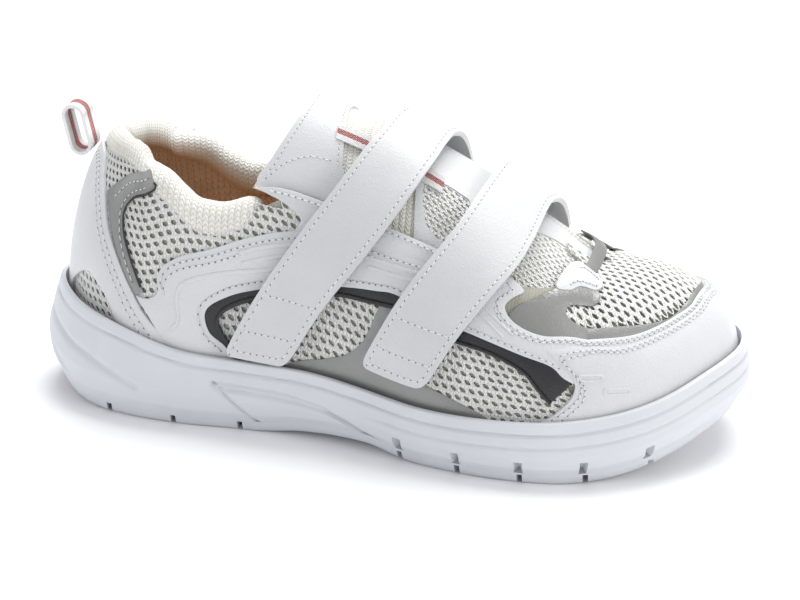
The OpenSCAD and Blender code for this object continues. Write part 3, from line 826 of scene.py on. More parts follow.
def ring_wall(levels):
    """levels is a list of functions of the stations that give points in mm, from the bottom up.
    Every point keeps its number in a layer, because extruding doesn't keep the order."""
    bm = bmesh.new()
    tag = bm.verts.layers.float.new("station")
    stations = np.arange(RING) * STATIONS / RING
    rings = [level(stations) for level in levels]
    circle = bmesh.ops.create_circle(bm, segments=RING, radius=1, cap_ends=False)["verts"]
    for i, v in enumerate(circle):
        v[tag] = i
        v.co = rings[0][i]
    edges = low_ring = bm.edges[:]
    for points in rings[1:]:
        made = bmesh.ops.extrude_edge_only(bm, edges=edges)["geom"]
        fresh = {v for v in made if isinstance(v, bmesh.types.BMVert)}
        for v in fresh:
            v.co = points[int(round(v[tag]))]
        edges = [e for e in made if isinstance(e, bmesh.types.BMEdge) and set(e.verts) <= fresh]
    bmesh.ops.contextual_create(bm, geom=low_ring)
    bmesh.ops.contextual_create(bm, geom=edges)
    return bm


def at_share(k):
    """The ring of the wall at the share k of its height."""
    def level(s):
        z = (bottom_z(s) + TREAD) * (1 - k) + rim_z(s) * k
        return beside(s, wall_out(s, k) - relief(s, z), z)
    return level


levels = [at_share(k) for k in np.linspace(0.0, 0.985, 48)]
levels += [
    lambda s: beside(s, LIP - 0.3, rim_z(s) - 0.05),
    lambda s: beside(s, LIP - 0.8, rim_z(s)),
    lambda s: beside(s, WALL_IN + 0.1, rim_z(s) - 0.1),
    lambda s: beside(s, WALL_IN, rim_z(s) - 1.5),
    lambda s: beside(s, WALL_IN, feather_z(plan(s)[:, 0])),
    lambda s: beside(s, 0.5 + 0 * s, curve_at(FLOOR, plan(s)[:, 0])),
]
wall = ring_wall(levels)
pull_over(wall, "shoe")
midsole = finish_piece(wall, "cup_sole", "shoe", white_rubber, "sole_foam", ["midsole"], smooth_angle=50)
print("cup sole has", len(midsole.data.polygons), "faces")

# %% [markdown]
# ## The outsole
# The tread is a second, flatter ring under the wall. Its flex grooves are cut with a boolean, the
# way a mould's ribs cut them, because they run straight through from side to side.

# %% The outsole
TREAD_EDGE = [(9, 0), (6.2, 0), (5.2, 0.3), (4.4, 1.2), (3.6, 3), (3, TREAD)]


def tread_level(inset, up):
    return lambda s: beside(s, curve_at(FLARE, s) - inset, bottom_z(s) + up)


tread = ring_wall([tread_level(inset, up) for inset, up in TREAD_EDGE])
pull_over(tread, "shoe")
outsole = finish_piece(tread, "outsole_tread", "shoe", white_rubber, "sole_rubber", ["outsole"],
                       smooth_angle=40)

# %% Cutting its grooves
GROOVE_KNIFE = (2.0, 130, 9.0)
knives = bmesh.new()
for x, turn in FLEX_GROOVES:
    place = Matrix.Translation((x, 0, float(curve_at(BOTTOM, x)))) @ Matrix.Rotation(math.radians(turn), 4,
                                                                                     "Z")
    blade = Matrix.Scale(MM, 4) @ place @ Matrix.Diagonal((*GROOVE_KNIFE, 1))
    bmesh.ops.create_cube(knives, size=1, matrix=blade)
knife = place_object("groove_knives", mesh_from(knives, "groove_knives"))
cut = outsole.modifiers.new("grooves", "BOOLEAN")
cut.object = knife
cut.operation = "DIFFERENCE"
bpy.context.view_layer.update()
carved = bpy.data.meshes.new_from_object(outsole.evaluated_get(bpy.context.evaluated_depsgraph_get()))
outsole.modifiers.clear()
outsole.data = carved
bpy.data.objects.remove(knife)
print("outsole has", len(outsole.data.polygons), "faces after its grooves are cut")

# %% [markdown]
# ## Inside the shoe
# Looking into the opening one sees the sock liner and the lining. Both are simple sheets: the
# liner is a flat cut of the floor's outline, and the lining is a side pattern a little inside.
# A layer is the two heights above the last, in mm, between which a piece lies. The air mesh has a
# dark cloth behind it, which shows through its holes.

# %% Sock liner, lining and backing
LINING_LAYER = (-3.6, -2.8)
BACKING_LAYER = (-1.2, -0.5)
TOE_BACKING_LAYER = (-2.2, -1.6)


def floor_level(inset, up):
    return lambda s: beside(s, -inset + 0 * s, curve_at(FLOOR, plan(s)[:, 0]) + up)


BOARD_EDGE = [(5.2, 0.1), (5.2, 1.8)]
LINER_EDGE = [(5.0, 2.1), (4.8, 4.8), (5.6, 5.5)]
liner = ring_wall([floor_level(inset, up) for inset, up in LINER_EDGE])
pull_over(liner, "shoe")
finish_piece(liner, "sock_liner_cloth", "shoe", lining_knit, "lining", ["sock_liner"])


def topline_at(s):
    """The rise at which the upper ends, at a station of either side."""
    return float(curve_at(TOPLINE, abs((s + TOE) % STATIONS - TOE)))


def side_sheet(ends, foot, drop, layer, cells):
    """A dense side pattern between two stations, from the rise foot to drop below the top line."""
    bm = bmesh.new()
    bmesh.ops.create_grid(bm, x_segments=cells[0], y_segments=cells[1], size=0.5)
    for v in bm.verts:
        s = ends[0] + (ends[1] - ends[0]) * (v.co.x + 0.5)
        rise = foot + (topline_at(s) - drop - foot) * (v.co.y + 0.5)
        v.co = (s * STATION_MM, rise * RISE_MM, 0)
    thicken(bm, *layer, edge=0.1, segments=1)
    pull_over(bm, "side")
    return bm


lining = side_sheet((-9.5, 9.5), 0.0, 0.05, LINING_LAYER, (200, 24))
finish_piece(lining, "foot_lining", "shoe", lining_knit, "lining",
             ["heel_lining", "heel_counter", "toe_puff"])
for name, ends in (("lateral", (0.0, 9.3)), ("medial", (14.7, 24.0))):
    cloth = side_sheet(ends, -0.01, 0.015, BACKING_LAYER, (160, 30))
    finish_piece(cloth, f"mesh_backing_{name}", "shoe", backing_cloth, "mesh", [f"quarter_{name}"])
print("lining and backing are in")

# %% The toe's backing and the insole board
UNDER_MESH = [(8.97, 0.97), (9.02, 0.88), (9.2, 0.79), (9.15, 0.72), (8.88, 0.64), (8.74, 0.57),
              (8.82, 0.49),
              (9.2, 0.465), (9.8, 0.455), (10.9, 0.435), (11.45, 0.465), (11.8, 0.5), (12.0, 0.51)]
BACKING_RING = UNDER_MESH + other_side(UNDER_MESH)[1:]
cloth = thicken(cut_flat(BACKING_RING, "cap"), *TOE_BACKING_LAYER, edge=0.1, segments=1)
pull_over(cloth, "cap")
finish_piece(cloth, "mesh_backing_toe", "shoe", backing_cloth, "mesh", ["vamp_mesh"])
board = ring_wall([floor_level(inset, up) for inset, up in BOARD_EDGE])
pull_over(board, "shoe")
finish_piece(board, "insole_board_sheet", "shoe", backing_cloth, "board", ["insole_board"])

# %% [markdown]
# ## Spacer mesh
# The white mesh has oval holes a few millimetres apart, in rows that are shifted by half a hole.
# A picture of holes would look flat from the side, so they are cut for real. A grid is sheared so
# that each row shifts, every face gets an inset, and the inner faces are taken out. Subdivision
# then rounds the square holes into ovals.

# %% Cutting the spacer mesh
HOLE_PITCH = (3.5, 2.5)
MESH_LAYER = (-0.2, 0.5)


def inside_outline(points, ring):
    """Which points lie inside a closed ring: those from which a ray crosses it an odd number of times."""
    x, y = points[:, 0], points[:, 1]
    found = np.zeros(len(points), bool)
    for (ax, ay), (bx, by) in zip(ring, np.roll(ring, -1, 0)):
        crosses = (ay > y) != (by > y)
        found ^= crosses & (x < (bx - ax) * (y - ay) / np.where(by == ay, 1e-9, by - ay) + ax)
    return found


def spacer_mesh(outline, kind, layer, rim=0.46, pitch=HOLE_PITCH):
    """A pulled-over mesh inside the outline. rim is half the width of the bars between holes."""
    pts = np.array(to_flat(smooth_line(outline, closed=True), kind))
    (x0, y0), (x1, y1) = pts.min(0) - pitch, pts.max(0) + pitch
    rows = int((y1 - y0) / pitch[1]) + 1
    columns = int((x1 - x0) / pitch[0] + rows / 2) + 1
    bm = bmesh.new()
    bmesh.ops.create_grid(bm, x_segments=columns, y_segments=rows, size=0.5)
    for v in bm.verts:
        row = (v.co.y + 0.5) * rows
        column = (v.co.x + 0.5) * columns
        v.co = (x0 + (column - row / 2) * pitch[0], y0 + row * pitch[1], 0)
    centres = np.array([f.calc_center_median()[:2] for f in bm.faces])
    spare = [f for f, inside in zip(bm.faces[:], inside_outline(centres, pts)) if not inside]
    bmesh.ops.delete(bm, geom=spare, context="FACES")
    cells = bm.faces[:]
    bmesh.ops.inset_individual(bm, faces=cells, thickness=rim, use_even_offset=True)
    bmesh.ops.delete(bm, geom=cells, context="FACES_ONLY")
    bmesh.ops.subdivide_edges(bm, edges=bm.edges[:], cuts=1, use_grid_fill=True)
    for _ in range(3):
        bmesh.ops.smooth_vert(bm, verts=bm.verts[:], factor=0.5, use_axis_x=True, use_axis_y=True)
    bmesh.ops.solidify(bm, geom=bm.faces[:], thickness=layer[1] - layer[0])
    bmesh.ops.translate(bm, verts=bm.verts[:], vec=(0, 0, layer[1]))
    pull_over(bm, kind)
    return bm


# %% The mesh of the quarters and the toe
QUARTER_MESH = [(1.2, 0.13, 1), (1.0, 0.3), (0.65, 0.5), (0.6, 0.60), (1.9, 0.61), (2.3, 0.57),
                (2.6, 0.505), (2.9, 0.425), (3.3, 0.375),
                (3.8, 0.385), (4.3, 0.44), (4.9, 0.47, 1), (6.9, 0.4, 1), (9.1, 0.28, 1), (9.2, 0.08, 1),
                (8.6, 0.01),
                (6.0, 0.0), (3.0, 0.0), (1.6, 0.08)]
HEEL_MESH = [(0.3, 0.02, 1), (0.3, 0.12, 1), (0.9, 0.2), (1.3, 0.22), (1.9, 0.15), (2.1, 0.02, 1)]
for name, side in SIDES:
    for label, ring in (("quarter_mesh", QUARTER_MESH), ("heel_mesh", HEEL_MESH)):
        bm = spacer_mesh(on_side(ring, side), "side", MESH_LAYER)
        piece = finish_piece(bm, f"{label}_{name}", "shoe", white_knit, "mesh", smooth_angle=180)
        print(piece.name, "has", len(piece.data.polygons), "faces")
TOE_MESH = [(9.05, 0.97), (9.12, 0.87), (9.36, 0.79), (9.3, 0.7), (9.0, 0.62), (8.86, 0.57), (8.92, 0.52),
            (9.2, 0.5), (9.8, 0.495),
            (10.9, 0.47), (11.45, 0.49), (11.8, 0.52), (12.0, 0.53)]
TOE_MESH_RING = TOE_MESH + other_side(TOE_MESH)[1:]
bm = spacer_mesh(TOE_MESH_RING, "cap", MESH_LAYER)
finish_piece(bm, "toe_box_mesh", "shoe", white_knit, "mesh", smooth_angle=180)
print("holes are", HOLE_PITCH, "mm apart")

# %% [markdown]
# ## Panels of the upper
# From here on every leather piece is an outline, its seams and the lines pressed into it. The
# outlines are given as station and rise, with a 1 behind a sharp corner. A helper cuts, thickens
# and pulls the piece over, and each seam goes into a shared row of thread for its pattern.

# %% One helper for every panel
LEATHER_LAYER = (0.4, 2.2)
THREAD_UP = 0.02
CORD_SUNK = 0.12
threads = {}


def sew(group, kind, lines, height, side=1, body="shoe"):
    """Adds rows of stitches to the thread of a group. Its meshes are made once all seams are in."""
    if group not in threads:
        threads[group] = (bmesh.new(), bmesh.new(), kind, body)
    thread, hole, _, _ = threads[group]
    for points in lines:
        add_stitches(thread, hole, evenly(on_side(points, side), kind, 1.0), height)


def shifted(points, along, down):
    """A second row beside a seam."""
    return [(s + along, r - down) for s, r in points]


def panel(name, outline, kind, layer, finish, slot, stands_for=(), holes=(), raised=()):
    """raised is a list of lines pressed into the panel, each with the radius of its cord."""
    bm = cut_flat(outline, kind, holes, grid=3.2)
    thicken(bm, *layer, edge=0.5, puff=0.5)
    for points, radius in raised:
        add_cord(bm, evenly(points, kind), layer[1] - CORD_SUNK, radius, squeeze=0.8)
    pull_over(bm, kind)
    return finish_piece(bm, name, "shoe", finish, slot, stands_for)


def both_sides(name, outline, layer, finish, slot, node, seams=(), raised=()):
    """A side panel and its mirror image on the inner side, with the seams of each."""
    for label, side in SIDES:
        nodes = [f"{node}_{label}"] if node else []
        panel(f"{name}_{label}", on_side(outline, side), "side", layer, finish, slot, nodes,
              raised=[(on_side(points, side), radius) for points, radius in raised])
        sew("upper", "side", seams, layer[1] + THREAD_UP, side=side)


# %% [markdown]
# ## Silver and black underlays
# The thinnest pieces lie lowest: satin silver shapes and black strips that show between the
# leather panels. Their edges run under the panels, as they do in the shoe, so no edge has to
# match another exactly.

# %% The silver piece beside the collar
SILVER_LAYER = (0.45, 1.5)
COLLAR_ACCENT = [(1.33, 0.44, 1), (1.85, 0.515), (2.43, 0.545, 1), (2.58, 0.47, 1), (2.15, 0.45),
                 (1.92, 0.40),
                 (1.95, 0.34), (2.07, 0.29), (2.4, 0.175, 1), (2.15, 0.17), (1.8, 0.27), (1.5, 0.38)]
ACCENT_SEAMS = [[(1.6, 0.43), (1.95, 0.488), (2.43, 0.512)],
                [(2.42, 0.485), (2.08, 0.462), (1.85, 0.41), (1.86, 0.34), (2.0, 0.27), (2.2, 0.2)]]
both_sides("collar_silver", COLLAR_ACCENT, SILVER_LAYER, silver_leather, "silver", "collar_accent",
           seams=ACCENT_SEAMS)
DARK_PIPING = [(2.54, 0.49), (2.56, 0.468), (2.15, 0.449), (1.92, 0.40), (1.95, 0.34), (2.07, 0.29),
               (2.38, 0.18)]
for label, side in SIDES:
    cord = bmesh.new()
    add_cord(cord, evenly(on_side(DARK_PIPING, side), "side"), height=1.2, radius=0.4)
    pull_over(cord, "side")
    finish_piece(cord, f"collar_piping_{label}", "shoe", black_leather, "black_trim", smooth_angle=60)

# %% The silver piece of the midfoot and the black strips round the windows
MIDFOOT = [(4.45, -0.02, 1), (4.7, 0.045), (5.28, 0.085), (5.65, 0.12), (5.93, 0.18), (6.12, 0.27),
           (6.17, 0.30, 1),
           (6.38, 0.30, 1), (6.22, 0.21), (6.15, 0.17), (6.45, 0.14), (6.9, 0.12), (7.4, 0.095),
           (7.9, 0.06),
           (8.35, -0.02, 1)]
both_sides("midfoot_silver", MIDFOOT, (0.45, 1.4), silver_leather, "silver", "midfoot_accent")
BLACK_LAYER = (0.45, 1.75)
BLACK_BAND = [(3.8, 0.03), (3.46, 0.085), (3.41, 0.14), (3.73, 0.182), (4.28, 0.225), (5.0, 0.27),
              (5.53, 0.30),
              (6.08, 0.33), (6.6, 0.345, 1), (6.55, 0.31, 1), (5.9, 0.282), (5.48, 0.268), (4.9, 0.235),
              (4.3, 0.2),
              (3.85, 0.165), (3.62, 0.13), (3.68, 0.09), (3.98, 0.03)]
BAND_RIDGE = [*reversed(BLACK_BAND[10:]), (6.5, 0.305)]
both_sides("rear_trim", BLACK_BAND, BLACK_LAYER, black_leather, "black_trim", "window_trim_rear",
           raised=[(BAND_RIDGE, 0.6)])
BLACK_WEDGE = [(7.35, 0.34), (8.33, 0.33), (8.85, 0.31), (9.1, 0.24), (8.83, 0.14, 1), (8.62, 0.19),
               (8.40, 0.24),
               (7.93, 0.27), (7.35, 0.275)]
WEDGE_RIDGE = [(8.83, 0.14), *BLACK_WEDGE[5:]]
both_sides("front_trim", BLACK_WEDGE, BLACK_LAYER, black_leather, "black_trim", "window_trim_front",
           raised=[(WEDGE_RIDGE, 0.6)])

# %% The silver ring of the toe and the band at the throat
SADDLE_OUT = [(8.1, 0.40, 1), (8.2, 0.47), (8.50, 0.57), (8.85, 0.70), (9.30, 0.78, 1), (9.45, 0.69),
              (9.0, 0.615),
              (8.90, 0.565), (8.99, 0.53), (9.22, 0.52), (9.8, 0.515), (10.9, 0.485), (11.4, 0.525),
              (11.75, 0.56),
              (12.0, 0.57)]
SADDLE_IN = [(12.0, 0.52), (11.8, 0.50), (11.45, 0.44), (10.75, 0.40), (9.9, 0.38), (9.2, 0.37),
             (8.6, 0.36)]
SADDLE_RING = SADDLE_OUT + other_side(SADDLE_OUT) + other_side(SADDLE_IN) + SADDLE_IN
THROAT_BAND = [(67, -0.32), (71, -0.24), (74.2, -0.12), (75, 0), (74.2, 0.12), (71, 0.24), (67, 0.32),
               (71, 0.36), (75.5, 0.25), (78.6, 0.12), (79.4, 0), (78.6, -0.12), (75.5, -0.25), (71, -0.36)]
panel("toe_silver", SADDLE_RING, "side", (0.55, 1.5), silver_leather, "silver", ["throat_saddle"])
panel("throat_band", THROAT_BAND, "saddle", (0.4, 1.3), silver_leather, "silver")
print(len(threads), "group of thread so far")

# %% [markdown]
# ## White leather panels
# Heel foxing, side panels, vamp guard and toe cap are the main shapes of the shoe. Each has two
# rows of stitches along its open edges and a few lines pressed into it. The toe cap comes last
# and lies on top of the guard.

# %% Heel foxing
FOXING = [(0.0, 0.56), (0.5, 0.56), (0.85, 0.53), (1.3, 0.43), (1.58, 0.33), (2.2, 0.17), (2.45, 0.11),
          (2.83, 0.04),
          (3.0, -0.02, 1)]
FOXING_RING = [(-s, *r) for s, *r in reversed(FOXING)] + FOXING[1:]
HEEL_WINDOW = [(0.45, 0.02), (0.53, 0.10), (0.76, 0.145), (1.03, 0.175), (1.28, 0.18), (1.7, 0.125),
               (1.9, 0.03), (1.2, 0.0)]
panel("heel_foxing_leather", FOXING_RING, "side", LEATHER_LAYER, white_leather, "leather", ["heel_foxing"],
      holes=[HEEL_WINDOW, [(-s, r) for s, r in reversed(HEEL_WINDOW)]])
LEATHER_SEAM = LEATHER_LAYER[1] + THREAD_UP
FOXING_SEAM = [(0.35, 0.54), (0.78, 0.505), (1.2, 0.41), (1.47, 0.32), (2.05, 0.165), (2.32, 0.10),
               (2.7, 0.025)]
for sign in (1, -1):
    rows = [[(sign * s, r) for s, r in row] for row in (FOXING_SEAM, shifted(FOXING_SEAM, -0.09, 0.0108))]
    sew("upper", "side", rows, LEATHER_SEAM)

# %% Side panels
SIDE_PANEL = [(2.95, -0.03, 1), (2.6, 0.085), (2.28, 0.165, 1), (2.5, 0.16), (2.66, 0.18), (2.65, 0.215),
              (2.75, 0.245), (3.0, 0.265), (3.53, 0.295), (4.17, 0.35), (4.85, 0.40), (5.6, 0.435),
              (6.4, 0.455),
              (7.3, 0.50, 1), (7.4, 0.32, 1), (6.48, 0.338), (6.08, 0.322), (5.53, 0.292), (4.28, 0.22),
              (3.73, 0.18), (3.43, 0.14), (3.48, 0.09), (3.73, 0.06), (3.9, 0.02), (4.0, -0.02, 1)]
TOP_EDGE = [(2.72, 0.178), (2.72, 0.21), (2.82, 0.235), (3.03, 0.252), (3.55, 0.28), (4.2, 0.335),
            (4.88, 0.383),
            (5.6, 0.418), (6.4, 0.437), (7.2, 0.47)]
LOW_EDGE = [(7.3, 0.337), (6.48, 0.354), (6.05, 0.338), (5.48, 0.308), (4.22, 0.236), (3.66, 0.194),
            (3.34, 0.145),
            (3.40, 0.085), (3.65, 0.05)]
ARROW = [(4.95, 0.315), (4.4, 0.275), (3.9, 0.25), (3.25, 0.215), (3.02, 0.19), (2.98, 0.15), (3.0, 0.11),
         (2.85, 0.08)]
PRESSED_LINES = [[(3.95, 0.300), (4.35, 0.332), (4.85, 0.362)], [(4.0, 0.275), (4.42, 0.307), (4.9, 0.338)],
                 [(5.9, 0.405), (6.6, 0.425), (7.2, 0.452)], [(5.95, 0.38), (6.65, 0.40), (7.2, 0.425)]]
both_sides("side_panel", SIDE_PANEL, LEATHER_LAYER, white_leather, "leather", "side_panel",
           seams=[TOP_EDGE, shifted(TOP_EDGE, 0.05, 0.014), LOW_EDGE],
           raised=[(ARROW, 0.65)] + [(line, 0.6) for line in PRESSED_LINES])
print("side panels are sewn on")

# %% Vamp guard
GUARD_TOP = [(7.2, 0.47, 1), (7.35, 0.52), (7.8, 0.56), (8.05, 0.575), (8.27, 0.555), (8.13, 0.50),
             (8.05, 0.45),
             (8.22, 0.41), (8.62, 0.405), (9.18, 0.455), (10.1, 0.45), (10.75, 0.47), (11.43, 0.50),
             (11.75, 0.53),
             (12.0, 0.54)]
GUARD_LOW = [(12.0, 0.4), (11, 0.33), (10, 0.3), (9.3, 0.22, 1), (9.0, 0.25), (8.78, 0.29), (8.33, 0.30),
             (7.5, 0.315),
             (7.2, 0.315, 1)]
GUARD_RING = GUARD_TOP + other_side(GUARD_TOP)[1:] + other_side(GUARD_LOW[1:]) + GUARD_LOW
GUARD_LINES = [[(7.45, 0.46), (7.75, 0.42), (8.25, 0.36)], [(7.45, 0.43), (7.7, 0.395), (8.1, 0.34)]]
panel("vamp_guard", GUARD_RING, "side", LEATHER_LAYER, white_leather, "leather",
      ["eyestay_lateral", "eyestay_medial"], raised=[(line, 0.6) for line in GUARD_LINES])
GUARD_SEAM = [(7.45, 0.50), (7.8, 0.535), (8.0, 0.545), (8.1, 0.53), (8.0, 0.49), (7.93, 0.45),
              (8.15, 0.395),
              (8.62, 0.388), (9.18, 0.438), (10.1, 0.433), (10.75, 0.452), (11.43, 0.482), (11.75, 0.512),
              (12.0, 0.52)]
GUARD_UNDER = [(7.3, 0.335), (8.33, 0.317), (8.75, 0.305), (8.95, 0.285)]
for _, side in SIDES:
    sew("upper", "side", [GUARD_SEAM, shifted(GUARD_SEAM[5:], -0.04, 0.014), GUARD_UNDER], LEATHER_SEAM,
        side=side)

# %% Toe cap
CAP_LAYER = (0.5, 2.7)
CAP_REAR = [(8.6, -0.02, 1), (8.68, 0.06), (8.9, 0.10), (9.12, 0.17), (9.15, 0.24), (9.0, 0.29),
            (8.70, 0.35, 1)]
CAP_TOP = [(9.25, 0.42), (9.83, 0.40), (10.43, 0.42), (11.1, 0.445), (11.55, 0.475), (11.8, 0.50),
           (12.0, 0.505)]
CAP_RING = CAP_REAR + CAP_TOP + other_side(CAP_TOP)[1:] + other_side(CAP_REAR)
BARS = [((9.25, 0.268), (9.5, 0.262)), ((9.62, 0.195), (9.9, 0.183))]
BAR_HALF, BAR_STEPS = 1.3, 24


def bar(start, end):
    """A long rounded loop between two points, the raised outline of a pressed bar."""
    a, b = (Vector(p) for p in to_flat([start, end], "side"))
    along = (b - a).normalized()
    across = Vector((-along.y, along.x))
    loop = []
    for i in range(BAR_STEPS + 1):
        turn = 2 * math.pi * i / BAR_STEPS
        centre = b if math.cos(turn) >= 0 else a
        point = centre + (along * math.cos(turn) + across * math.sin(turn)) * BAR_HALF
        loop.append((point.x / STATION_MM, point.y / RISE_MM))
    return loop + loop[:1]


CAP_SEAM = [(8.78, 0.07), (9.0, 0.11), (9.2, 0.17), (9.23, 0.235), (9.08, 0.29), (8.92, 0.34), (9.3, 0.4),
            (9.83, 0.383), (10.43, 0.403), (11.1, 0.428), (11.6, 0.46), (11.8, 0.48), (12.0, 0.485)]
panel("toe_cap_leather", CAP_RING, "side", CAP_LAYER, white_leather, "leather", ["toe_cap"],
      raised=[(on_side(bar(*ends), side), 0.5) for _, side in SIDES for ends in BARS])
for _, side in SIDES:
    sew("upper", "side", [CAP_SEAM, shifted(CAP_SEAM, 0.06, 0.013)], CAP_LAYER[1] + THREAD_UP, side=side)
print("guard and toe cap are sewn on")

# %% [markdown]
# ## Eyestay and throat
# The edge of the opening is bound with a strip of leather on each side. It runs from the collar
# to the vamp guard under both straps. At the throat a small leather finger holds the tongue's end.

# %% Eyestay strips and throat finger
EYESTAY = [(4.15, 0.485, 1), (4.6, 0.505), (5.5, 0.51), (7.0, 0.535), (7.9, 0.56, 1), (7.8, 0.48, 1),
           (7.0, 0.46), (6.3, 0.435), (5.9, 0.42), (5.2, 0.39), (4.78, 0.39),
           (4.85, 0.43), (4.73, 0.452), (4.48, 0.47)]
EYESTAY_SEAM = [(4.35, 0.487), (4.7, 0.492), (5.5, 0.498), (7.0, 0.52), (7.3, 0.525)]
both_sides("eyestay_strip", EYESTAY, (0.3, 2.0), white_leather, "leather", None, seams=[EYESTAY_SEAM])
FINGER = [(8.70, 0.66), (8.78, 0.80), (8.90, 0.87), (9.06, 0.87), (9.42, 0.835), (9.43, 0.77),
          (9.05, 0.735), (8.9, 0.68)]
FINGER_LAYER = (0.4, 1.9)
FINGER_SEAMS = [[(8.93, 0.83), (9.05, 0.845), (9.3, 0.82)], [(8.86, 0.70), (9.0, 0.752), (9.3, 0.782)]]
panel("throat_finger_lateral", FINGER, "side", FINGER_LAYER, white_leather, "leather", ["throat_tab"])
sew("upper", "side", FINGER_SEAMS, FINGER_LAYER[1] + THREAD_UP)

# %% [markdown]
# ## Collar and tongue
# These two are padded. The collar is a closed tube along the top line, thick enough to bulge over
# the leather. Its knit needs no seam, so a grid is wrapped round until its edges meet.

# %% The padded collar
COLLAR_END = 4.25
COLLAR_UP, COLLAR_DOWN, COLLAR_IN = 7, -2.5, -3.9
COLLAR_HALF = 4.9


def collar_roll():
    bm = bmesh.new()
    bmesh.ops.create_grid(bm, x_segments=180, y_segments=28, size=0.5)
    uv = bm.loops.layers.uv.verify()
    for face in bm.faces:
        for loop in face.loops:
            loop[uv].uv = ((loop.vert.co.x + 0.5) * 2.1, (loop.vert.co.y + 0.5) * 0.4)
    flat = np.array([v.co[:] for v in bm.verts]) + 0.5
    s = (flat[:, 0] * 2 - 1) * COLLAR_END
    angle = flat[:, 1] * 2 * math.pi
    end = np.clip((COLLAR_END - np.abs(s)) / 0.35, 0, 1)
    fat = np.sqrt(np.clip(1 - (1 - end) ** 2, 0.02, 1))
    top = np.array([topline_at(v) for v in s])
    wrinkle = 0.25 * np.sin(s * 9 + 2 * np.sin(s * 4)) * np.clip(np.cos(angle), 0, 1)
    mm_per_rise = curve_at(RISE, np.clip(plan(s)[:, 0], RISE[0][0], RISE[-1][0])) * math.pi / 2 * 0.8
    rise = top + (COLLAR_DOWN + COLLAR_UP * fat * np.cos(angle) + wrinkle) / mm_per_rise
    height = COLLAR_IN + COLLAR_HALF * fat * np.sin(angle)
    for v, co in zip(bm.verts, on_last(s, rise, height) * MM):
        v.co = co
    bmesh.ops.remove_doubles(bm, verts=bm.verts, dist=0.02 * MM)
    rims = [e for e in bm.edges if len(e.link_faces) == 1]
    bmesh.ops.holes_fill(bm, edges=rims, sides=0)
    return bm


collar = finish_piece(collar_roll(), "padded_collar", "shoe", cream_knit, "knit", ["collar_roll"],
                      smooth_angle=180)
print("collar has", len(collar.data.polygons), "faces")

# %% [markdown]
# The tongue is a pillow cut across the ridge. Its grid is pinched to nothing at the rim and full
# in the middle.

# %% The tongue's padding
FOLD_START, FOLD_END = (ridge_point(x, 0.0, -4.0) for x in (-18.0, -25.0))
TONGUE_HALF = [(-45, 0.52), (-20, 0.545), (20, 0.54), (60, 0.50), (83, 0.40)]
TONGUE_FRONT_X = 82.0
PAD_LAYER = (-6.8, -2.2)
PAD_ROUND = 3.0


def with_tongue(piece):
    """Bakes the piece's place into its mesh. The fold points are read, but the piece doesn't fold."""
    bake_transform(piece)
    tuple(FOLD_START)
    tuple(FOLD_END)


def tongue_edge(x):
    """Half width of the tongue, as a turn."""
    return float(np.interp(x, *zip(*TONGUE_HALF)))


def tongue_rear(turn):
    """The tongue's rear edge stands highest on the ridge and runs back on both sides."""
    return -28.5 - 15.5 * (turn / 0.5) ** 2


def tongue_pad():
    bm = bmesh.new()
    bmesh.ops.create_grid(bm, x_segments=120, y_segments=60, size=0.5)
    for v in bm.verts:
        share = v.co.x + 0.5
        turn = 2 * v.co.y * tongue_edge(-40 + 120 * share)
        rear = tongue_rear(turn)
        v.co = (rear + (TONGUE_FRONT_X - rear) * share, turn * RISE_MM, 0)
    made = bmesh.ops.extrude_face_region(bm, geom=bm.faces[:], use_keep_orig=True)["geom"]
    upper = {v for v in made if isinstance(v, bmesh.types.BMVert)}
    middle, half = sum(PAD_LAYER) / 2, (PAD_LAYER[1] - PAD_LAYER[0]) / 2
    for v in bm.verts:
        x, y = v.co.x, v.co.y
        to_side = tongue_edge(x) * RISE_MM - abs(y)
        inset = max(0.0, min(x - tongue_rear(y / RISE_MM), TONGUE_FRONT_X - x, to_side))
        full = math.sqrt(max(0.0, 1 - (1 - min(inset / PAD_ROUND, 1)) ** 2))
        v.co.z = middle + (1 if v in upper else -1) * half * (0.12 + 0.88 * full)
    bmesh.ops.recalc_face_normals(bm, faces=bm.faces[:])
    pull_over(bm, "saddle")
    return bm


tongue = finish_piece(tongue_pad(), "tongue_padding", None, tongue_knit, "knit",
                      ["tongue_base", "tongue_top"],
                      smooth_angle=180)
with_tongue(tongue)
print("tongue padding has", len(tongue.data.polygons), "faces")

# %% The tongue's leather
REAR_LAYER = (-2.4, -1.1)
REAR_FLANK = [(-11, 0.38), (3, 0.44), (0, 0.53), (-20, 0.54), (-38, 0.53), (-43.5, 0.495), (-39.2, 0.42),
              (-33.6, 0.29)]
REAR_FRONT = [(-13, -0.30), (-14, -0.14), (-15, 0), (-14, 0.14), (-13, 0.30)]


def across_ridge(points):
    """The same outline on the other side of the ridge."""
    return [(x, -turn, *corner) for x, turn, *corner in reversed(points)]


TONGUE_REAR = [(-29.5, 0.16), (-28.6, 0), (-29.8, -0.15), *across_ridge(REAR_FLANK), *REAR_FRONT,
               *REAR_FLANK]


def tongue_leather(name, outline, layer, holes=(), edge=0.5):
    bm = cut_flat(outline, "saddle", holes, grid=3.0)
    thicken(bm, *layer, edge=edge)
    pull_over(bm, "saddle")
    with_tongue(finish_piece(bm, name, None, white_leather, "leather"))


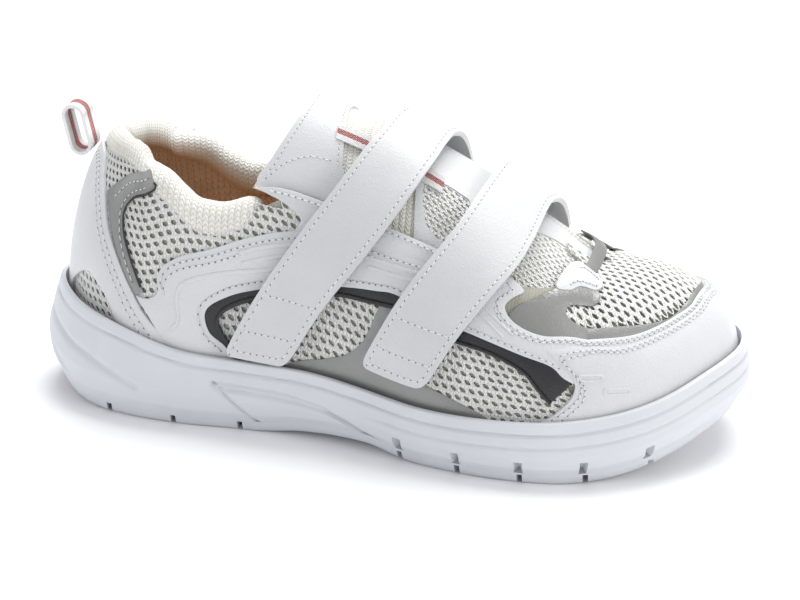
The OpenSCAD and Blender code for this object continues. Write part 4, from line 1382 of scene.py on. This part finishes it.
tongue_leather("tongue_leather_rear", TONGUE_REAR, REAR_LAYER)
SEAM_ARC = [(-42, -0.50), (-39, -0.47), (-33, -0.41), (-25, -0.36), (-18, -0.345)]
EDGE_HALF = [(-28, 0.15), (-31.6, 0.29), (-37, 0.42)]
LEATHER_EDGE = [(-40.5, -0.47), *across_ridge(EDGE_HALF), (-26.8, 0), *EDGE_HALF]
FRONT_EDGE = [(-14.5, -0.36), (-15.6, -0.14), (-16.4, 0), (-15.6, 0.14), (-14.5, 0.36)]
OTHER_ARC = [(x, -turn) for x, turn in SEAM_ARC]
sew("tongue", "saddle", [SEAM_ARC, OTHER_ARC, LEATHER_EDGE, FRONT_EDGE], REAR_LAYER[1] + THREAD_UP,
    body=None)

# %% Its front part, with mesh in four windows
TONGUE_FRONT = [(13, -0.12, 1), (13.5, 0), (13, 0.12, 1), (16, 0.48, 1), (40, 0.52), (62, 0.49), (78, 0.42),
                (82, 0),
                (78, -0.42), (62, -0.49), (40, -0.52), (16, -0.48, 1)]
WINDOWS = [[(17, -0.24), (22, -0.19), (30, -0.18), (34, -0.20), (34, -0.34), (28, -0.42), (20, -0.40)],
           [(52, -0.16), (60, -0.06), (72, -0.05), (78, -0.10), (77, -0.28), (68, -0.38), (56, -0.44),
            (48, -0.42)]]
WINDOWS += [across_ridge(ring) for ring in WINDOWS]
WIDER_X, WIDER_TURN = 1.18, 1.2
tongue_leather("tongue_leather_front", TONGUE_FRONT, (-2.3, -1.2), WINDOWS, edge=0.4)
for number, ring in enumerate(WINDOWS):
    x_mid, turn_mid = np.mean(ring, axis=0)
    wider = [(x_mid + (x - x_mid) * WIDER_X, turn_mid + (turn - turn_mid) * WIDER_TURN) for x, turn in ring]
    bm = spacer_mesh(wider, "saddle", (-2.15, -1.6), rim=0.42, pitch=(2.9, 2.1))
    with_tongue(finish_piece(bm, f"tongue_mesh_{number}", None, white_knit, "mesh", smooth_angle=180))
print("tongue has", len(WINDOWS), "mesh windows")

# %% [markdown]
# ## Straps
# A strap is a long panel across the ridge with a rounded end. It has a row of stitches round its
# edge and two rows across, where the touch fastener is sewn on below.

# %% Where the straps lie
ANKLE = [(-0.96, -42), (-0.8, -29), (-0.62, -14), (-0.42, -1), (-0.2, 7), (0, 10), (0.3, 13), (0.6, 15)]
INSTEP = [(-0.9, 12), (-0.72, 23.5), (-0.55, 33.5), (-0.38, 41), (-0.2, 44.5), (0, 46), (0.3, 48),
          (0.6, 49)]
STRAPS = {"ankle": (ANKLE, -0.95, 0.52, 12.0), "instep": (INSTEP, -0.88, 0.5, 46.0)}
STRAP_W = 19.0
STRAP_LAYER = (4.2, 6.2)
FOLD_TURNS = (0.24, 0.12)
ROUND_END = [(-0.97, 0.018), (-0.86, 0.004), (-0.6, 0), (0.6, 0), (0.86, 0.004), (0.97, 0.018)]


def strap_side(path, turn, side, width=STRAP_W):
    """A point on one edge of a strap, side -1 or 1, or between them. The strap slants on the
    shoe's side, so it is longer along x there."""
    reach = width / 2 * (1 + 0.3 * min(abs(turn) * 1.6, 1))
    return (float(curve_at(path, turn)) + side * reach, turn)


def strap_edges(path, turns, width=STRAP_W):
    return [[strap_side(path, t, side, width) for t in turns] for side in (-1, 1)]


def strap_outline(path, low_end, high_end):
    left, right = strap_edges(path, np.linspace(low_end + 0.04, high_end, 18))
    tip = [strap_side(path, low_end + up, side) for side, up in ROUND_END]
    return [(*left[-1], 1), *left[-2::-1], *tip, *right[:-1], (*right[-1], 1)]


def strap_band(path, low_turn, high_turn, width):
    """A square-ended piece of tape that lies under the strap."""
    left, right = strap_edges(path, np.linspace(low_turn, high_turn, 7), width)
    return [(*left[0], 1), (*right[0], 1), *right[1:-1], (*right[-1], 1), (*left[-1], 1), *left[-2:0:-1]]


def fold_line(x):
    """Two points at one height across the ridge, at the turns where a strap would bend. Nothing
    bends the strap with them."""
    start, end = (ridge_point(x, turn, sum(STRAP_LAYER) / 2) for turn in FOLD_TURNS)
    end[2] = start[2]
    return start, end


# %% Strap leather and its stitches
SEAM_IN = 1.8


def strap_seams(path, outline, low_end):
    """The row of stitches inside the edge and the two rows across."""
    ring = to_flat(smooth_line(outline, closed=True), "saddle")
    ring.append(ring[0])
    line = inset_line(ring, SEAM_IN)
    if not inside_outline(np.array([line[len(line) // 3]]), np.array(ring))[0]:
        line = inset_line(ring, -SEAM_IN)
    rows = [[(x, y) for x, y, _ in steps_along(line, 1.0)]]
    for up in (0.07, 0.17):
        ends = [strap_side(path, low_end + up, side, STRAP_W - 2 * SEAM_IN) for side in (-1, 1)]
        rows.append(evenly(ends, "saddle", step=1.0))
    return rows


for strap, (path, low_end, high_end, fold_x) in STRAPS.items():
    blended = []
    outline = strap_outline(path, low_end, high_end)
    leather = cut_flat(outline, "saddle", grid=3.0)
    thicken(leather, *STRAP_LAYER, edge=0.7)
    thread, hole_shade_dots = bmesh.new(), bmesh.new()
    for row in strap_seams(path, outline, low_end):
        add_stitches(thread, hole_shade_dots, row, STRAP_LAYER[1] + THREAD_UP)
    for bm in (leather, thread, hole_shade_dots):
        pull_over(bm, "saddle")
    nodes = [f"{strap}_strap", f"{strap}_strap_anchor"]
    blended.append(finish_piece(leather, f"{strap}_strap_leather", None, strap_leather, "strap_leather",
                                nodes))
    # The dots are dark spheres, painted shade for the strap's needle holes.
    for bm, label, finish in ((thread, "thread", thread_finish), (hole_shade_dots, "needle_hole_shade", needle_hole_shade_finish)):
        blended.append(finish_piece(bm, f"{strap}_{label}_outer", None, finish, "strap_leather",
                                    smooth_angle=180))
    for piece in blended:
        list(fold_line(fold_x))
        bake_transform(piece)
    print(strap, "strap has", sum(len(piece.data.polygons) for piece in blended), "faces")

# %% [markdown]
# The touch fastener has two halves. The hook tape is sewn under the strap's end and opens with
# it, and the softer loop tape is longer and stays on the shoe.

# %% Hook and loop tapes
HOOK_LAYER = (3.3, 4.15)
PILE_LAYER = (2.3, 3.05)
for strap, (path, low_end, _, _) in STRAPS.items():
    hook = strap_band(path, low_end + 0.03, low_end + 0.3, STRAP_W - 3)
    pile = strap_band(path, low_end + 0.05, low_end + 0.45, STRAP_W - 4)
    for label, slot, outline, layer, body, finish in (
            ("hook_tape", "hook", hook, HOOK_LAYER, f"{strap}_strap_body", thread_finish),
            ("pile_tape", "loop", pile, PILE_LAYER, "shoe", white_knit)):
        bm = cut_flat(outline, "saddle", grid=3.0)
        thicken(bm, *layer, edge=0.2, segments=1)
        pull_over(bm, "saddle")
        finish_piece(bm, f"{strap}_{label}", body, finish, slot, [f"{strap}_{slot}_pad"])

# %% [markdown]
# ## Webbing
# The heel loop and the keeper on the tongue are woven tape with a red and black tracer along the
# middle. The weave runs along the tape, so it is drawn from the tape's own UV map.

# %% Webbing and its tracer
def webbing_finish():
    material, tree, shader = new_finish("webbing", 0.85)
    along, across = flat_place(tree)
    slant = maths(tree, "ADD", along, times(tree, across, 0.35))
    beat = maths(tree, "SINE", times(tree, slant, 75.0))
    rib = maths(tree, "SINE", times(tree, across, 100.0))
    from_middle = maths(tree, "ABSOLUTE", maths(tree, "SUBTRACT", across, 0.5))
    middle = maths(tree, "LESS_THAN", from_middle, 0.17)
    black = times(tree, middle, maths(tree, "GREATER_THAN", beat, 0.55))
    red = times(tree, middle, maths(tree, "LESS_THAN", beat, 0.0))
    base = mix_colours(tree, black, (0.80, 0.80, 0.79), (0.03, 0.03, 0.035))
    tree.links.new(mix_colours(tree, red, base, (0.55, 0.05, 0.04)), shader.inputs["Base Color"])
    bump_from(tree, shader, maths(tree, "ADD", times(tree, beat, 0.5), rib), 0.6, 0.0003)
    return material


webbing = webbing_finish()
WEAVE_STEP = 0.012


def tape(path, width, layer, turned):
    """A tape along a list of (a, b) points. turned(a, b, across, height) gives the place."""
    spans = len(path) - 1
    bm = bmesh.new()
    bmesh.ops.create_grid(bm, x_segments=spans, y_segments=6, size=0.5)
    uv = bm.loops.layers.uv.verify()
    for face in bm.faces:
        for loop in face.loops:
            loop[uv].uv = ((loop.vert.co.x + 0.5) * spans * WEAVE_STEP, loop.vert.co.y + 0.5)
    made = bmesh.ops.extrude_face_region(bm, geom=bm.faces[:], use_keep_orig=True)["geom"]
    upper = {v for v in made if isinstance(v, bmesh.types.BMVert)}
    for v in bm.verts:
        a, b = path[round((v.co.x + 0.5) * spans)]
        v.co = turned(a, b, v.co.y * width, layer[1] if v in upper else layer[0])
    bmesh.ops.remove_doubles(bm, verts=bm.verts, dist=0.02)
    bmesh.ops.recalc_face_normals(bm, faces=bm.faces[:])
    return bm


# %% The keeper on the tongue
KEEPER_X, KEEPER_Y, KEEPER_W = -16.5, -20, 8.0


def lying_flat(a, b, across, height):
    return (a, b + across, height)


keeper = tape([(KEEPER_X + 0.5 * i, KEEPER_Y) for i in range(81)], KEEPER_W, (-1.4, -0.45), lying_flat)
for v in keeper.verts:
    v.co = ridge_point(v.co.x, v.co.y / RISE_MM, v.co.z)
with_tongue(finish_piece(keeper, "tongue_keeper", None, webbing, "webbing", ["tongue_web"]))

# %% The heel pull loop
LOOP_OUT, LOOP_HALF, LOOP_WIDE, LOOP_THICK, LOOP_STEPS = 4.5, 5.5, 10.0, 1.3, 96
LOOP_PLACE, LOOP_LEAN, LOOP_UP = (-116.5, 2, 93), math.radians(-12), 10
LOOP_MIDDLE = LOOP_OUT - LOOP_THICK / 2


def loop_corner(b):
    """The middle of the half circle, upper or lower, that a point of the loop belongs to."""
    return math.copysign(LOOP_HALF, b)


def round_loop(a, b, across, height):
    corner = loop_corner(b)
    grow = 1 + height / math.hypot(a, b - corner)
    return (a * grow, across, corner + (b - corner) * grow)


loop_path = []
for i in range(LOOP_STEPS + 1):
    angle = 2 * math.pi * i / LOOP_STEPS
    a, b = LOOP_MIDDLE * math.cos(angle), LOOP_MIDDLE * math.sin(angle)
    loop_path.append((a, b + (LOOP_HALF if b >= 0 else -LOOP_HALF)))
loop_path.append(loop_path[0])
pull = tape(loop_path, LOOP_WIDE, (-LOOP_THICK / 2, LOOP_THICK / 2), round_loop)
lean = Matrix.Rotation(LOOP_LEAN, 4, "Y") @ Matrix.Translation((0, 0, LOOP_UP))
place = Matrix.Scale(MM, 4) @ Matrix.Translation(LOOP_PLACE) @ lean
bmesh.ops.transform(pull, matrix=place, verts=pull.verts)
finish_piece(pull, "heel_pull_loop", "heel_loop", webbing, "webbing", ["pull_loop"])

# %% [markdown]
# ## All the thread
# The rows of thread that were gathered on the way become two meshes for each pattern, one of
# thread and one of dark dots, painted shade for the needle holes.

# %% Making the thread
for group, (thread, hole_shade_dots, kind, body) in threads.items():
    for bm_part, label, finish in ((thread, "thread", thread_finish), (hole_shade_dots, "needle_hole_shade", needle_hole_shade_finish)):
        pull_over(bm_part, kind)
        sewn = finish_piece(bm_part, f"{group}_{label}", body, finish, "leather", smooth_angle=180)
        if body is None:
            with_tongue(sewn)
        print(sewn.name, len(sewn.data.polygons), "faces")

# %% [markdown]
# ## Floor, camera and light
# The shoe stands on a wide plain white floor and is lit by large soft lamps, as in a catalogue
# picture. The strongest lamp is above and behind, so that the top of the shoe is brighter than
# its side, as on the real one.

# %% Floor
FLOOR_HALF = 6.0
sheet = bmesh.new()
bmesh.ops.create_grid(sheet, x_segments=8, y_segments=8, size=FLOOR_HALF)
floor = place_object("floor", mesh_from(sheet, "floor"))
floor.data.materials.append(plain_finish("floor paper", 0.9, (0.92, 0.92, 0.935)))

# %% Camera
TARGET = Vector((0, 0, 0.045))
AZIMUTH, ELEVATION, DISTANCE = math.radians(14), math.radians(25), 0.9
flat_away = Vector((math.sin(AZIMUTH), -math.cos(AZIMUTH), 0)) * math.cos(ELEVATION)
away = flat_away + Vector((0, 0, math.sin(ELEVATION)))
camera = place_object("camera", bpy.data.cameras.new("camera"))
camera.location = TARGET + away * DISTANCE
camera.rotation_euler = (-away).to_track_quat("-Z", "Y").to_euler()
camera.data.lens = 108.54
camera.data.sensor_width = 36
camera.data.shift_x = 0.01625
bpy.context.scene.camera = camera

# %% Lights
AIMED_AT = Vector((0, 0, 0.05))
LAMPS = [("top softbox", (0.05, 0.35, 1.0), (0.9, 0.6), 13, (1, 1, 1)),
         ("toe side softbox", (0.9, -0.3, 0.5), (0.5, 0.5), 3.5, (1, 0.99, 0.97)),
         ("left fill", (-0.8, -0.5, 0.45), (0.5, 0.5), 1.6, (0.93, 0.96, 1))]
for name, lamp_place, lamp_size, watts, colour in LAMPS:
    lamp = bpy.data.lights.new(name, "AREA")
    lamp.shape = "RECTANGLE"
    lamp.size, lamp.size_y = lamp_size
    lamp.energy = watts
    lamp.color = colour
    light = place_object(name, lamp)
    light.location = lamp_place
    light.rotation_euler = (light.location - AIMED_AT).to_track_quat("Z", "Y").to_euler()
world = bpy.data.worlds.new("studio")
world.use_nodes = True
background = world.node_tree.nodes["Background"]
background.inputs["Color"].default_value = (0.97, 0.975, 1, 1)
background.inputs["Strength"].default_value = 0.55
bpy.context.scene.world = world
bpy.context.scene.view_settings.view_transform = "Standard"
print("lit by", len(LAMPS), "lamps")
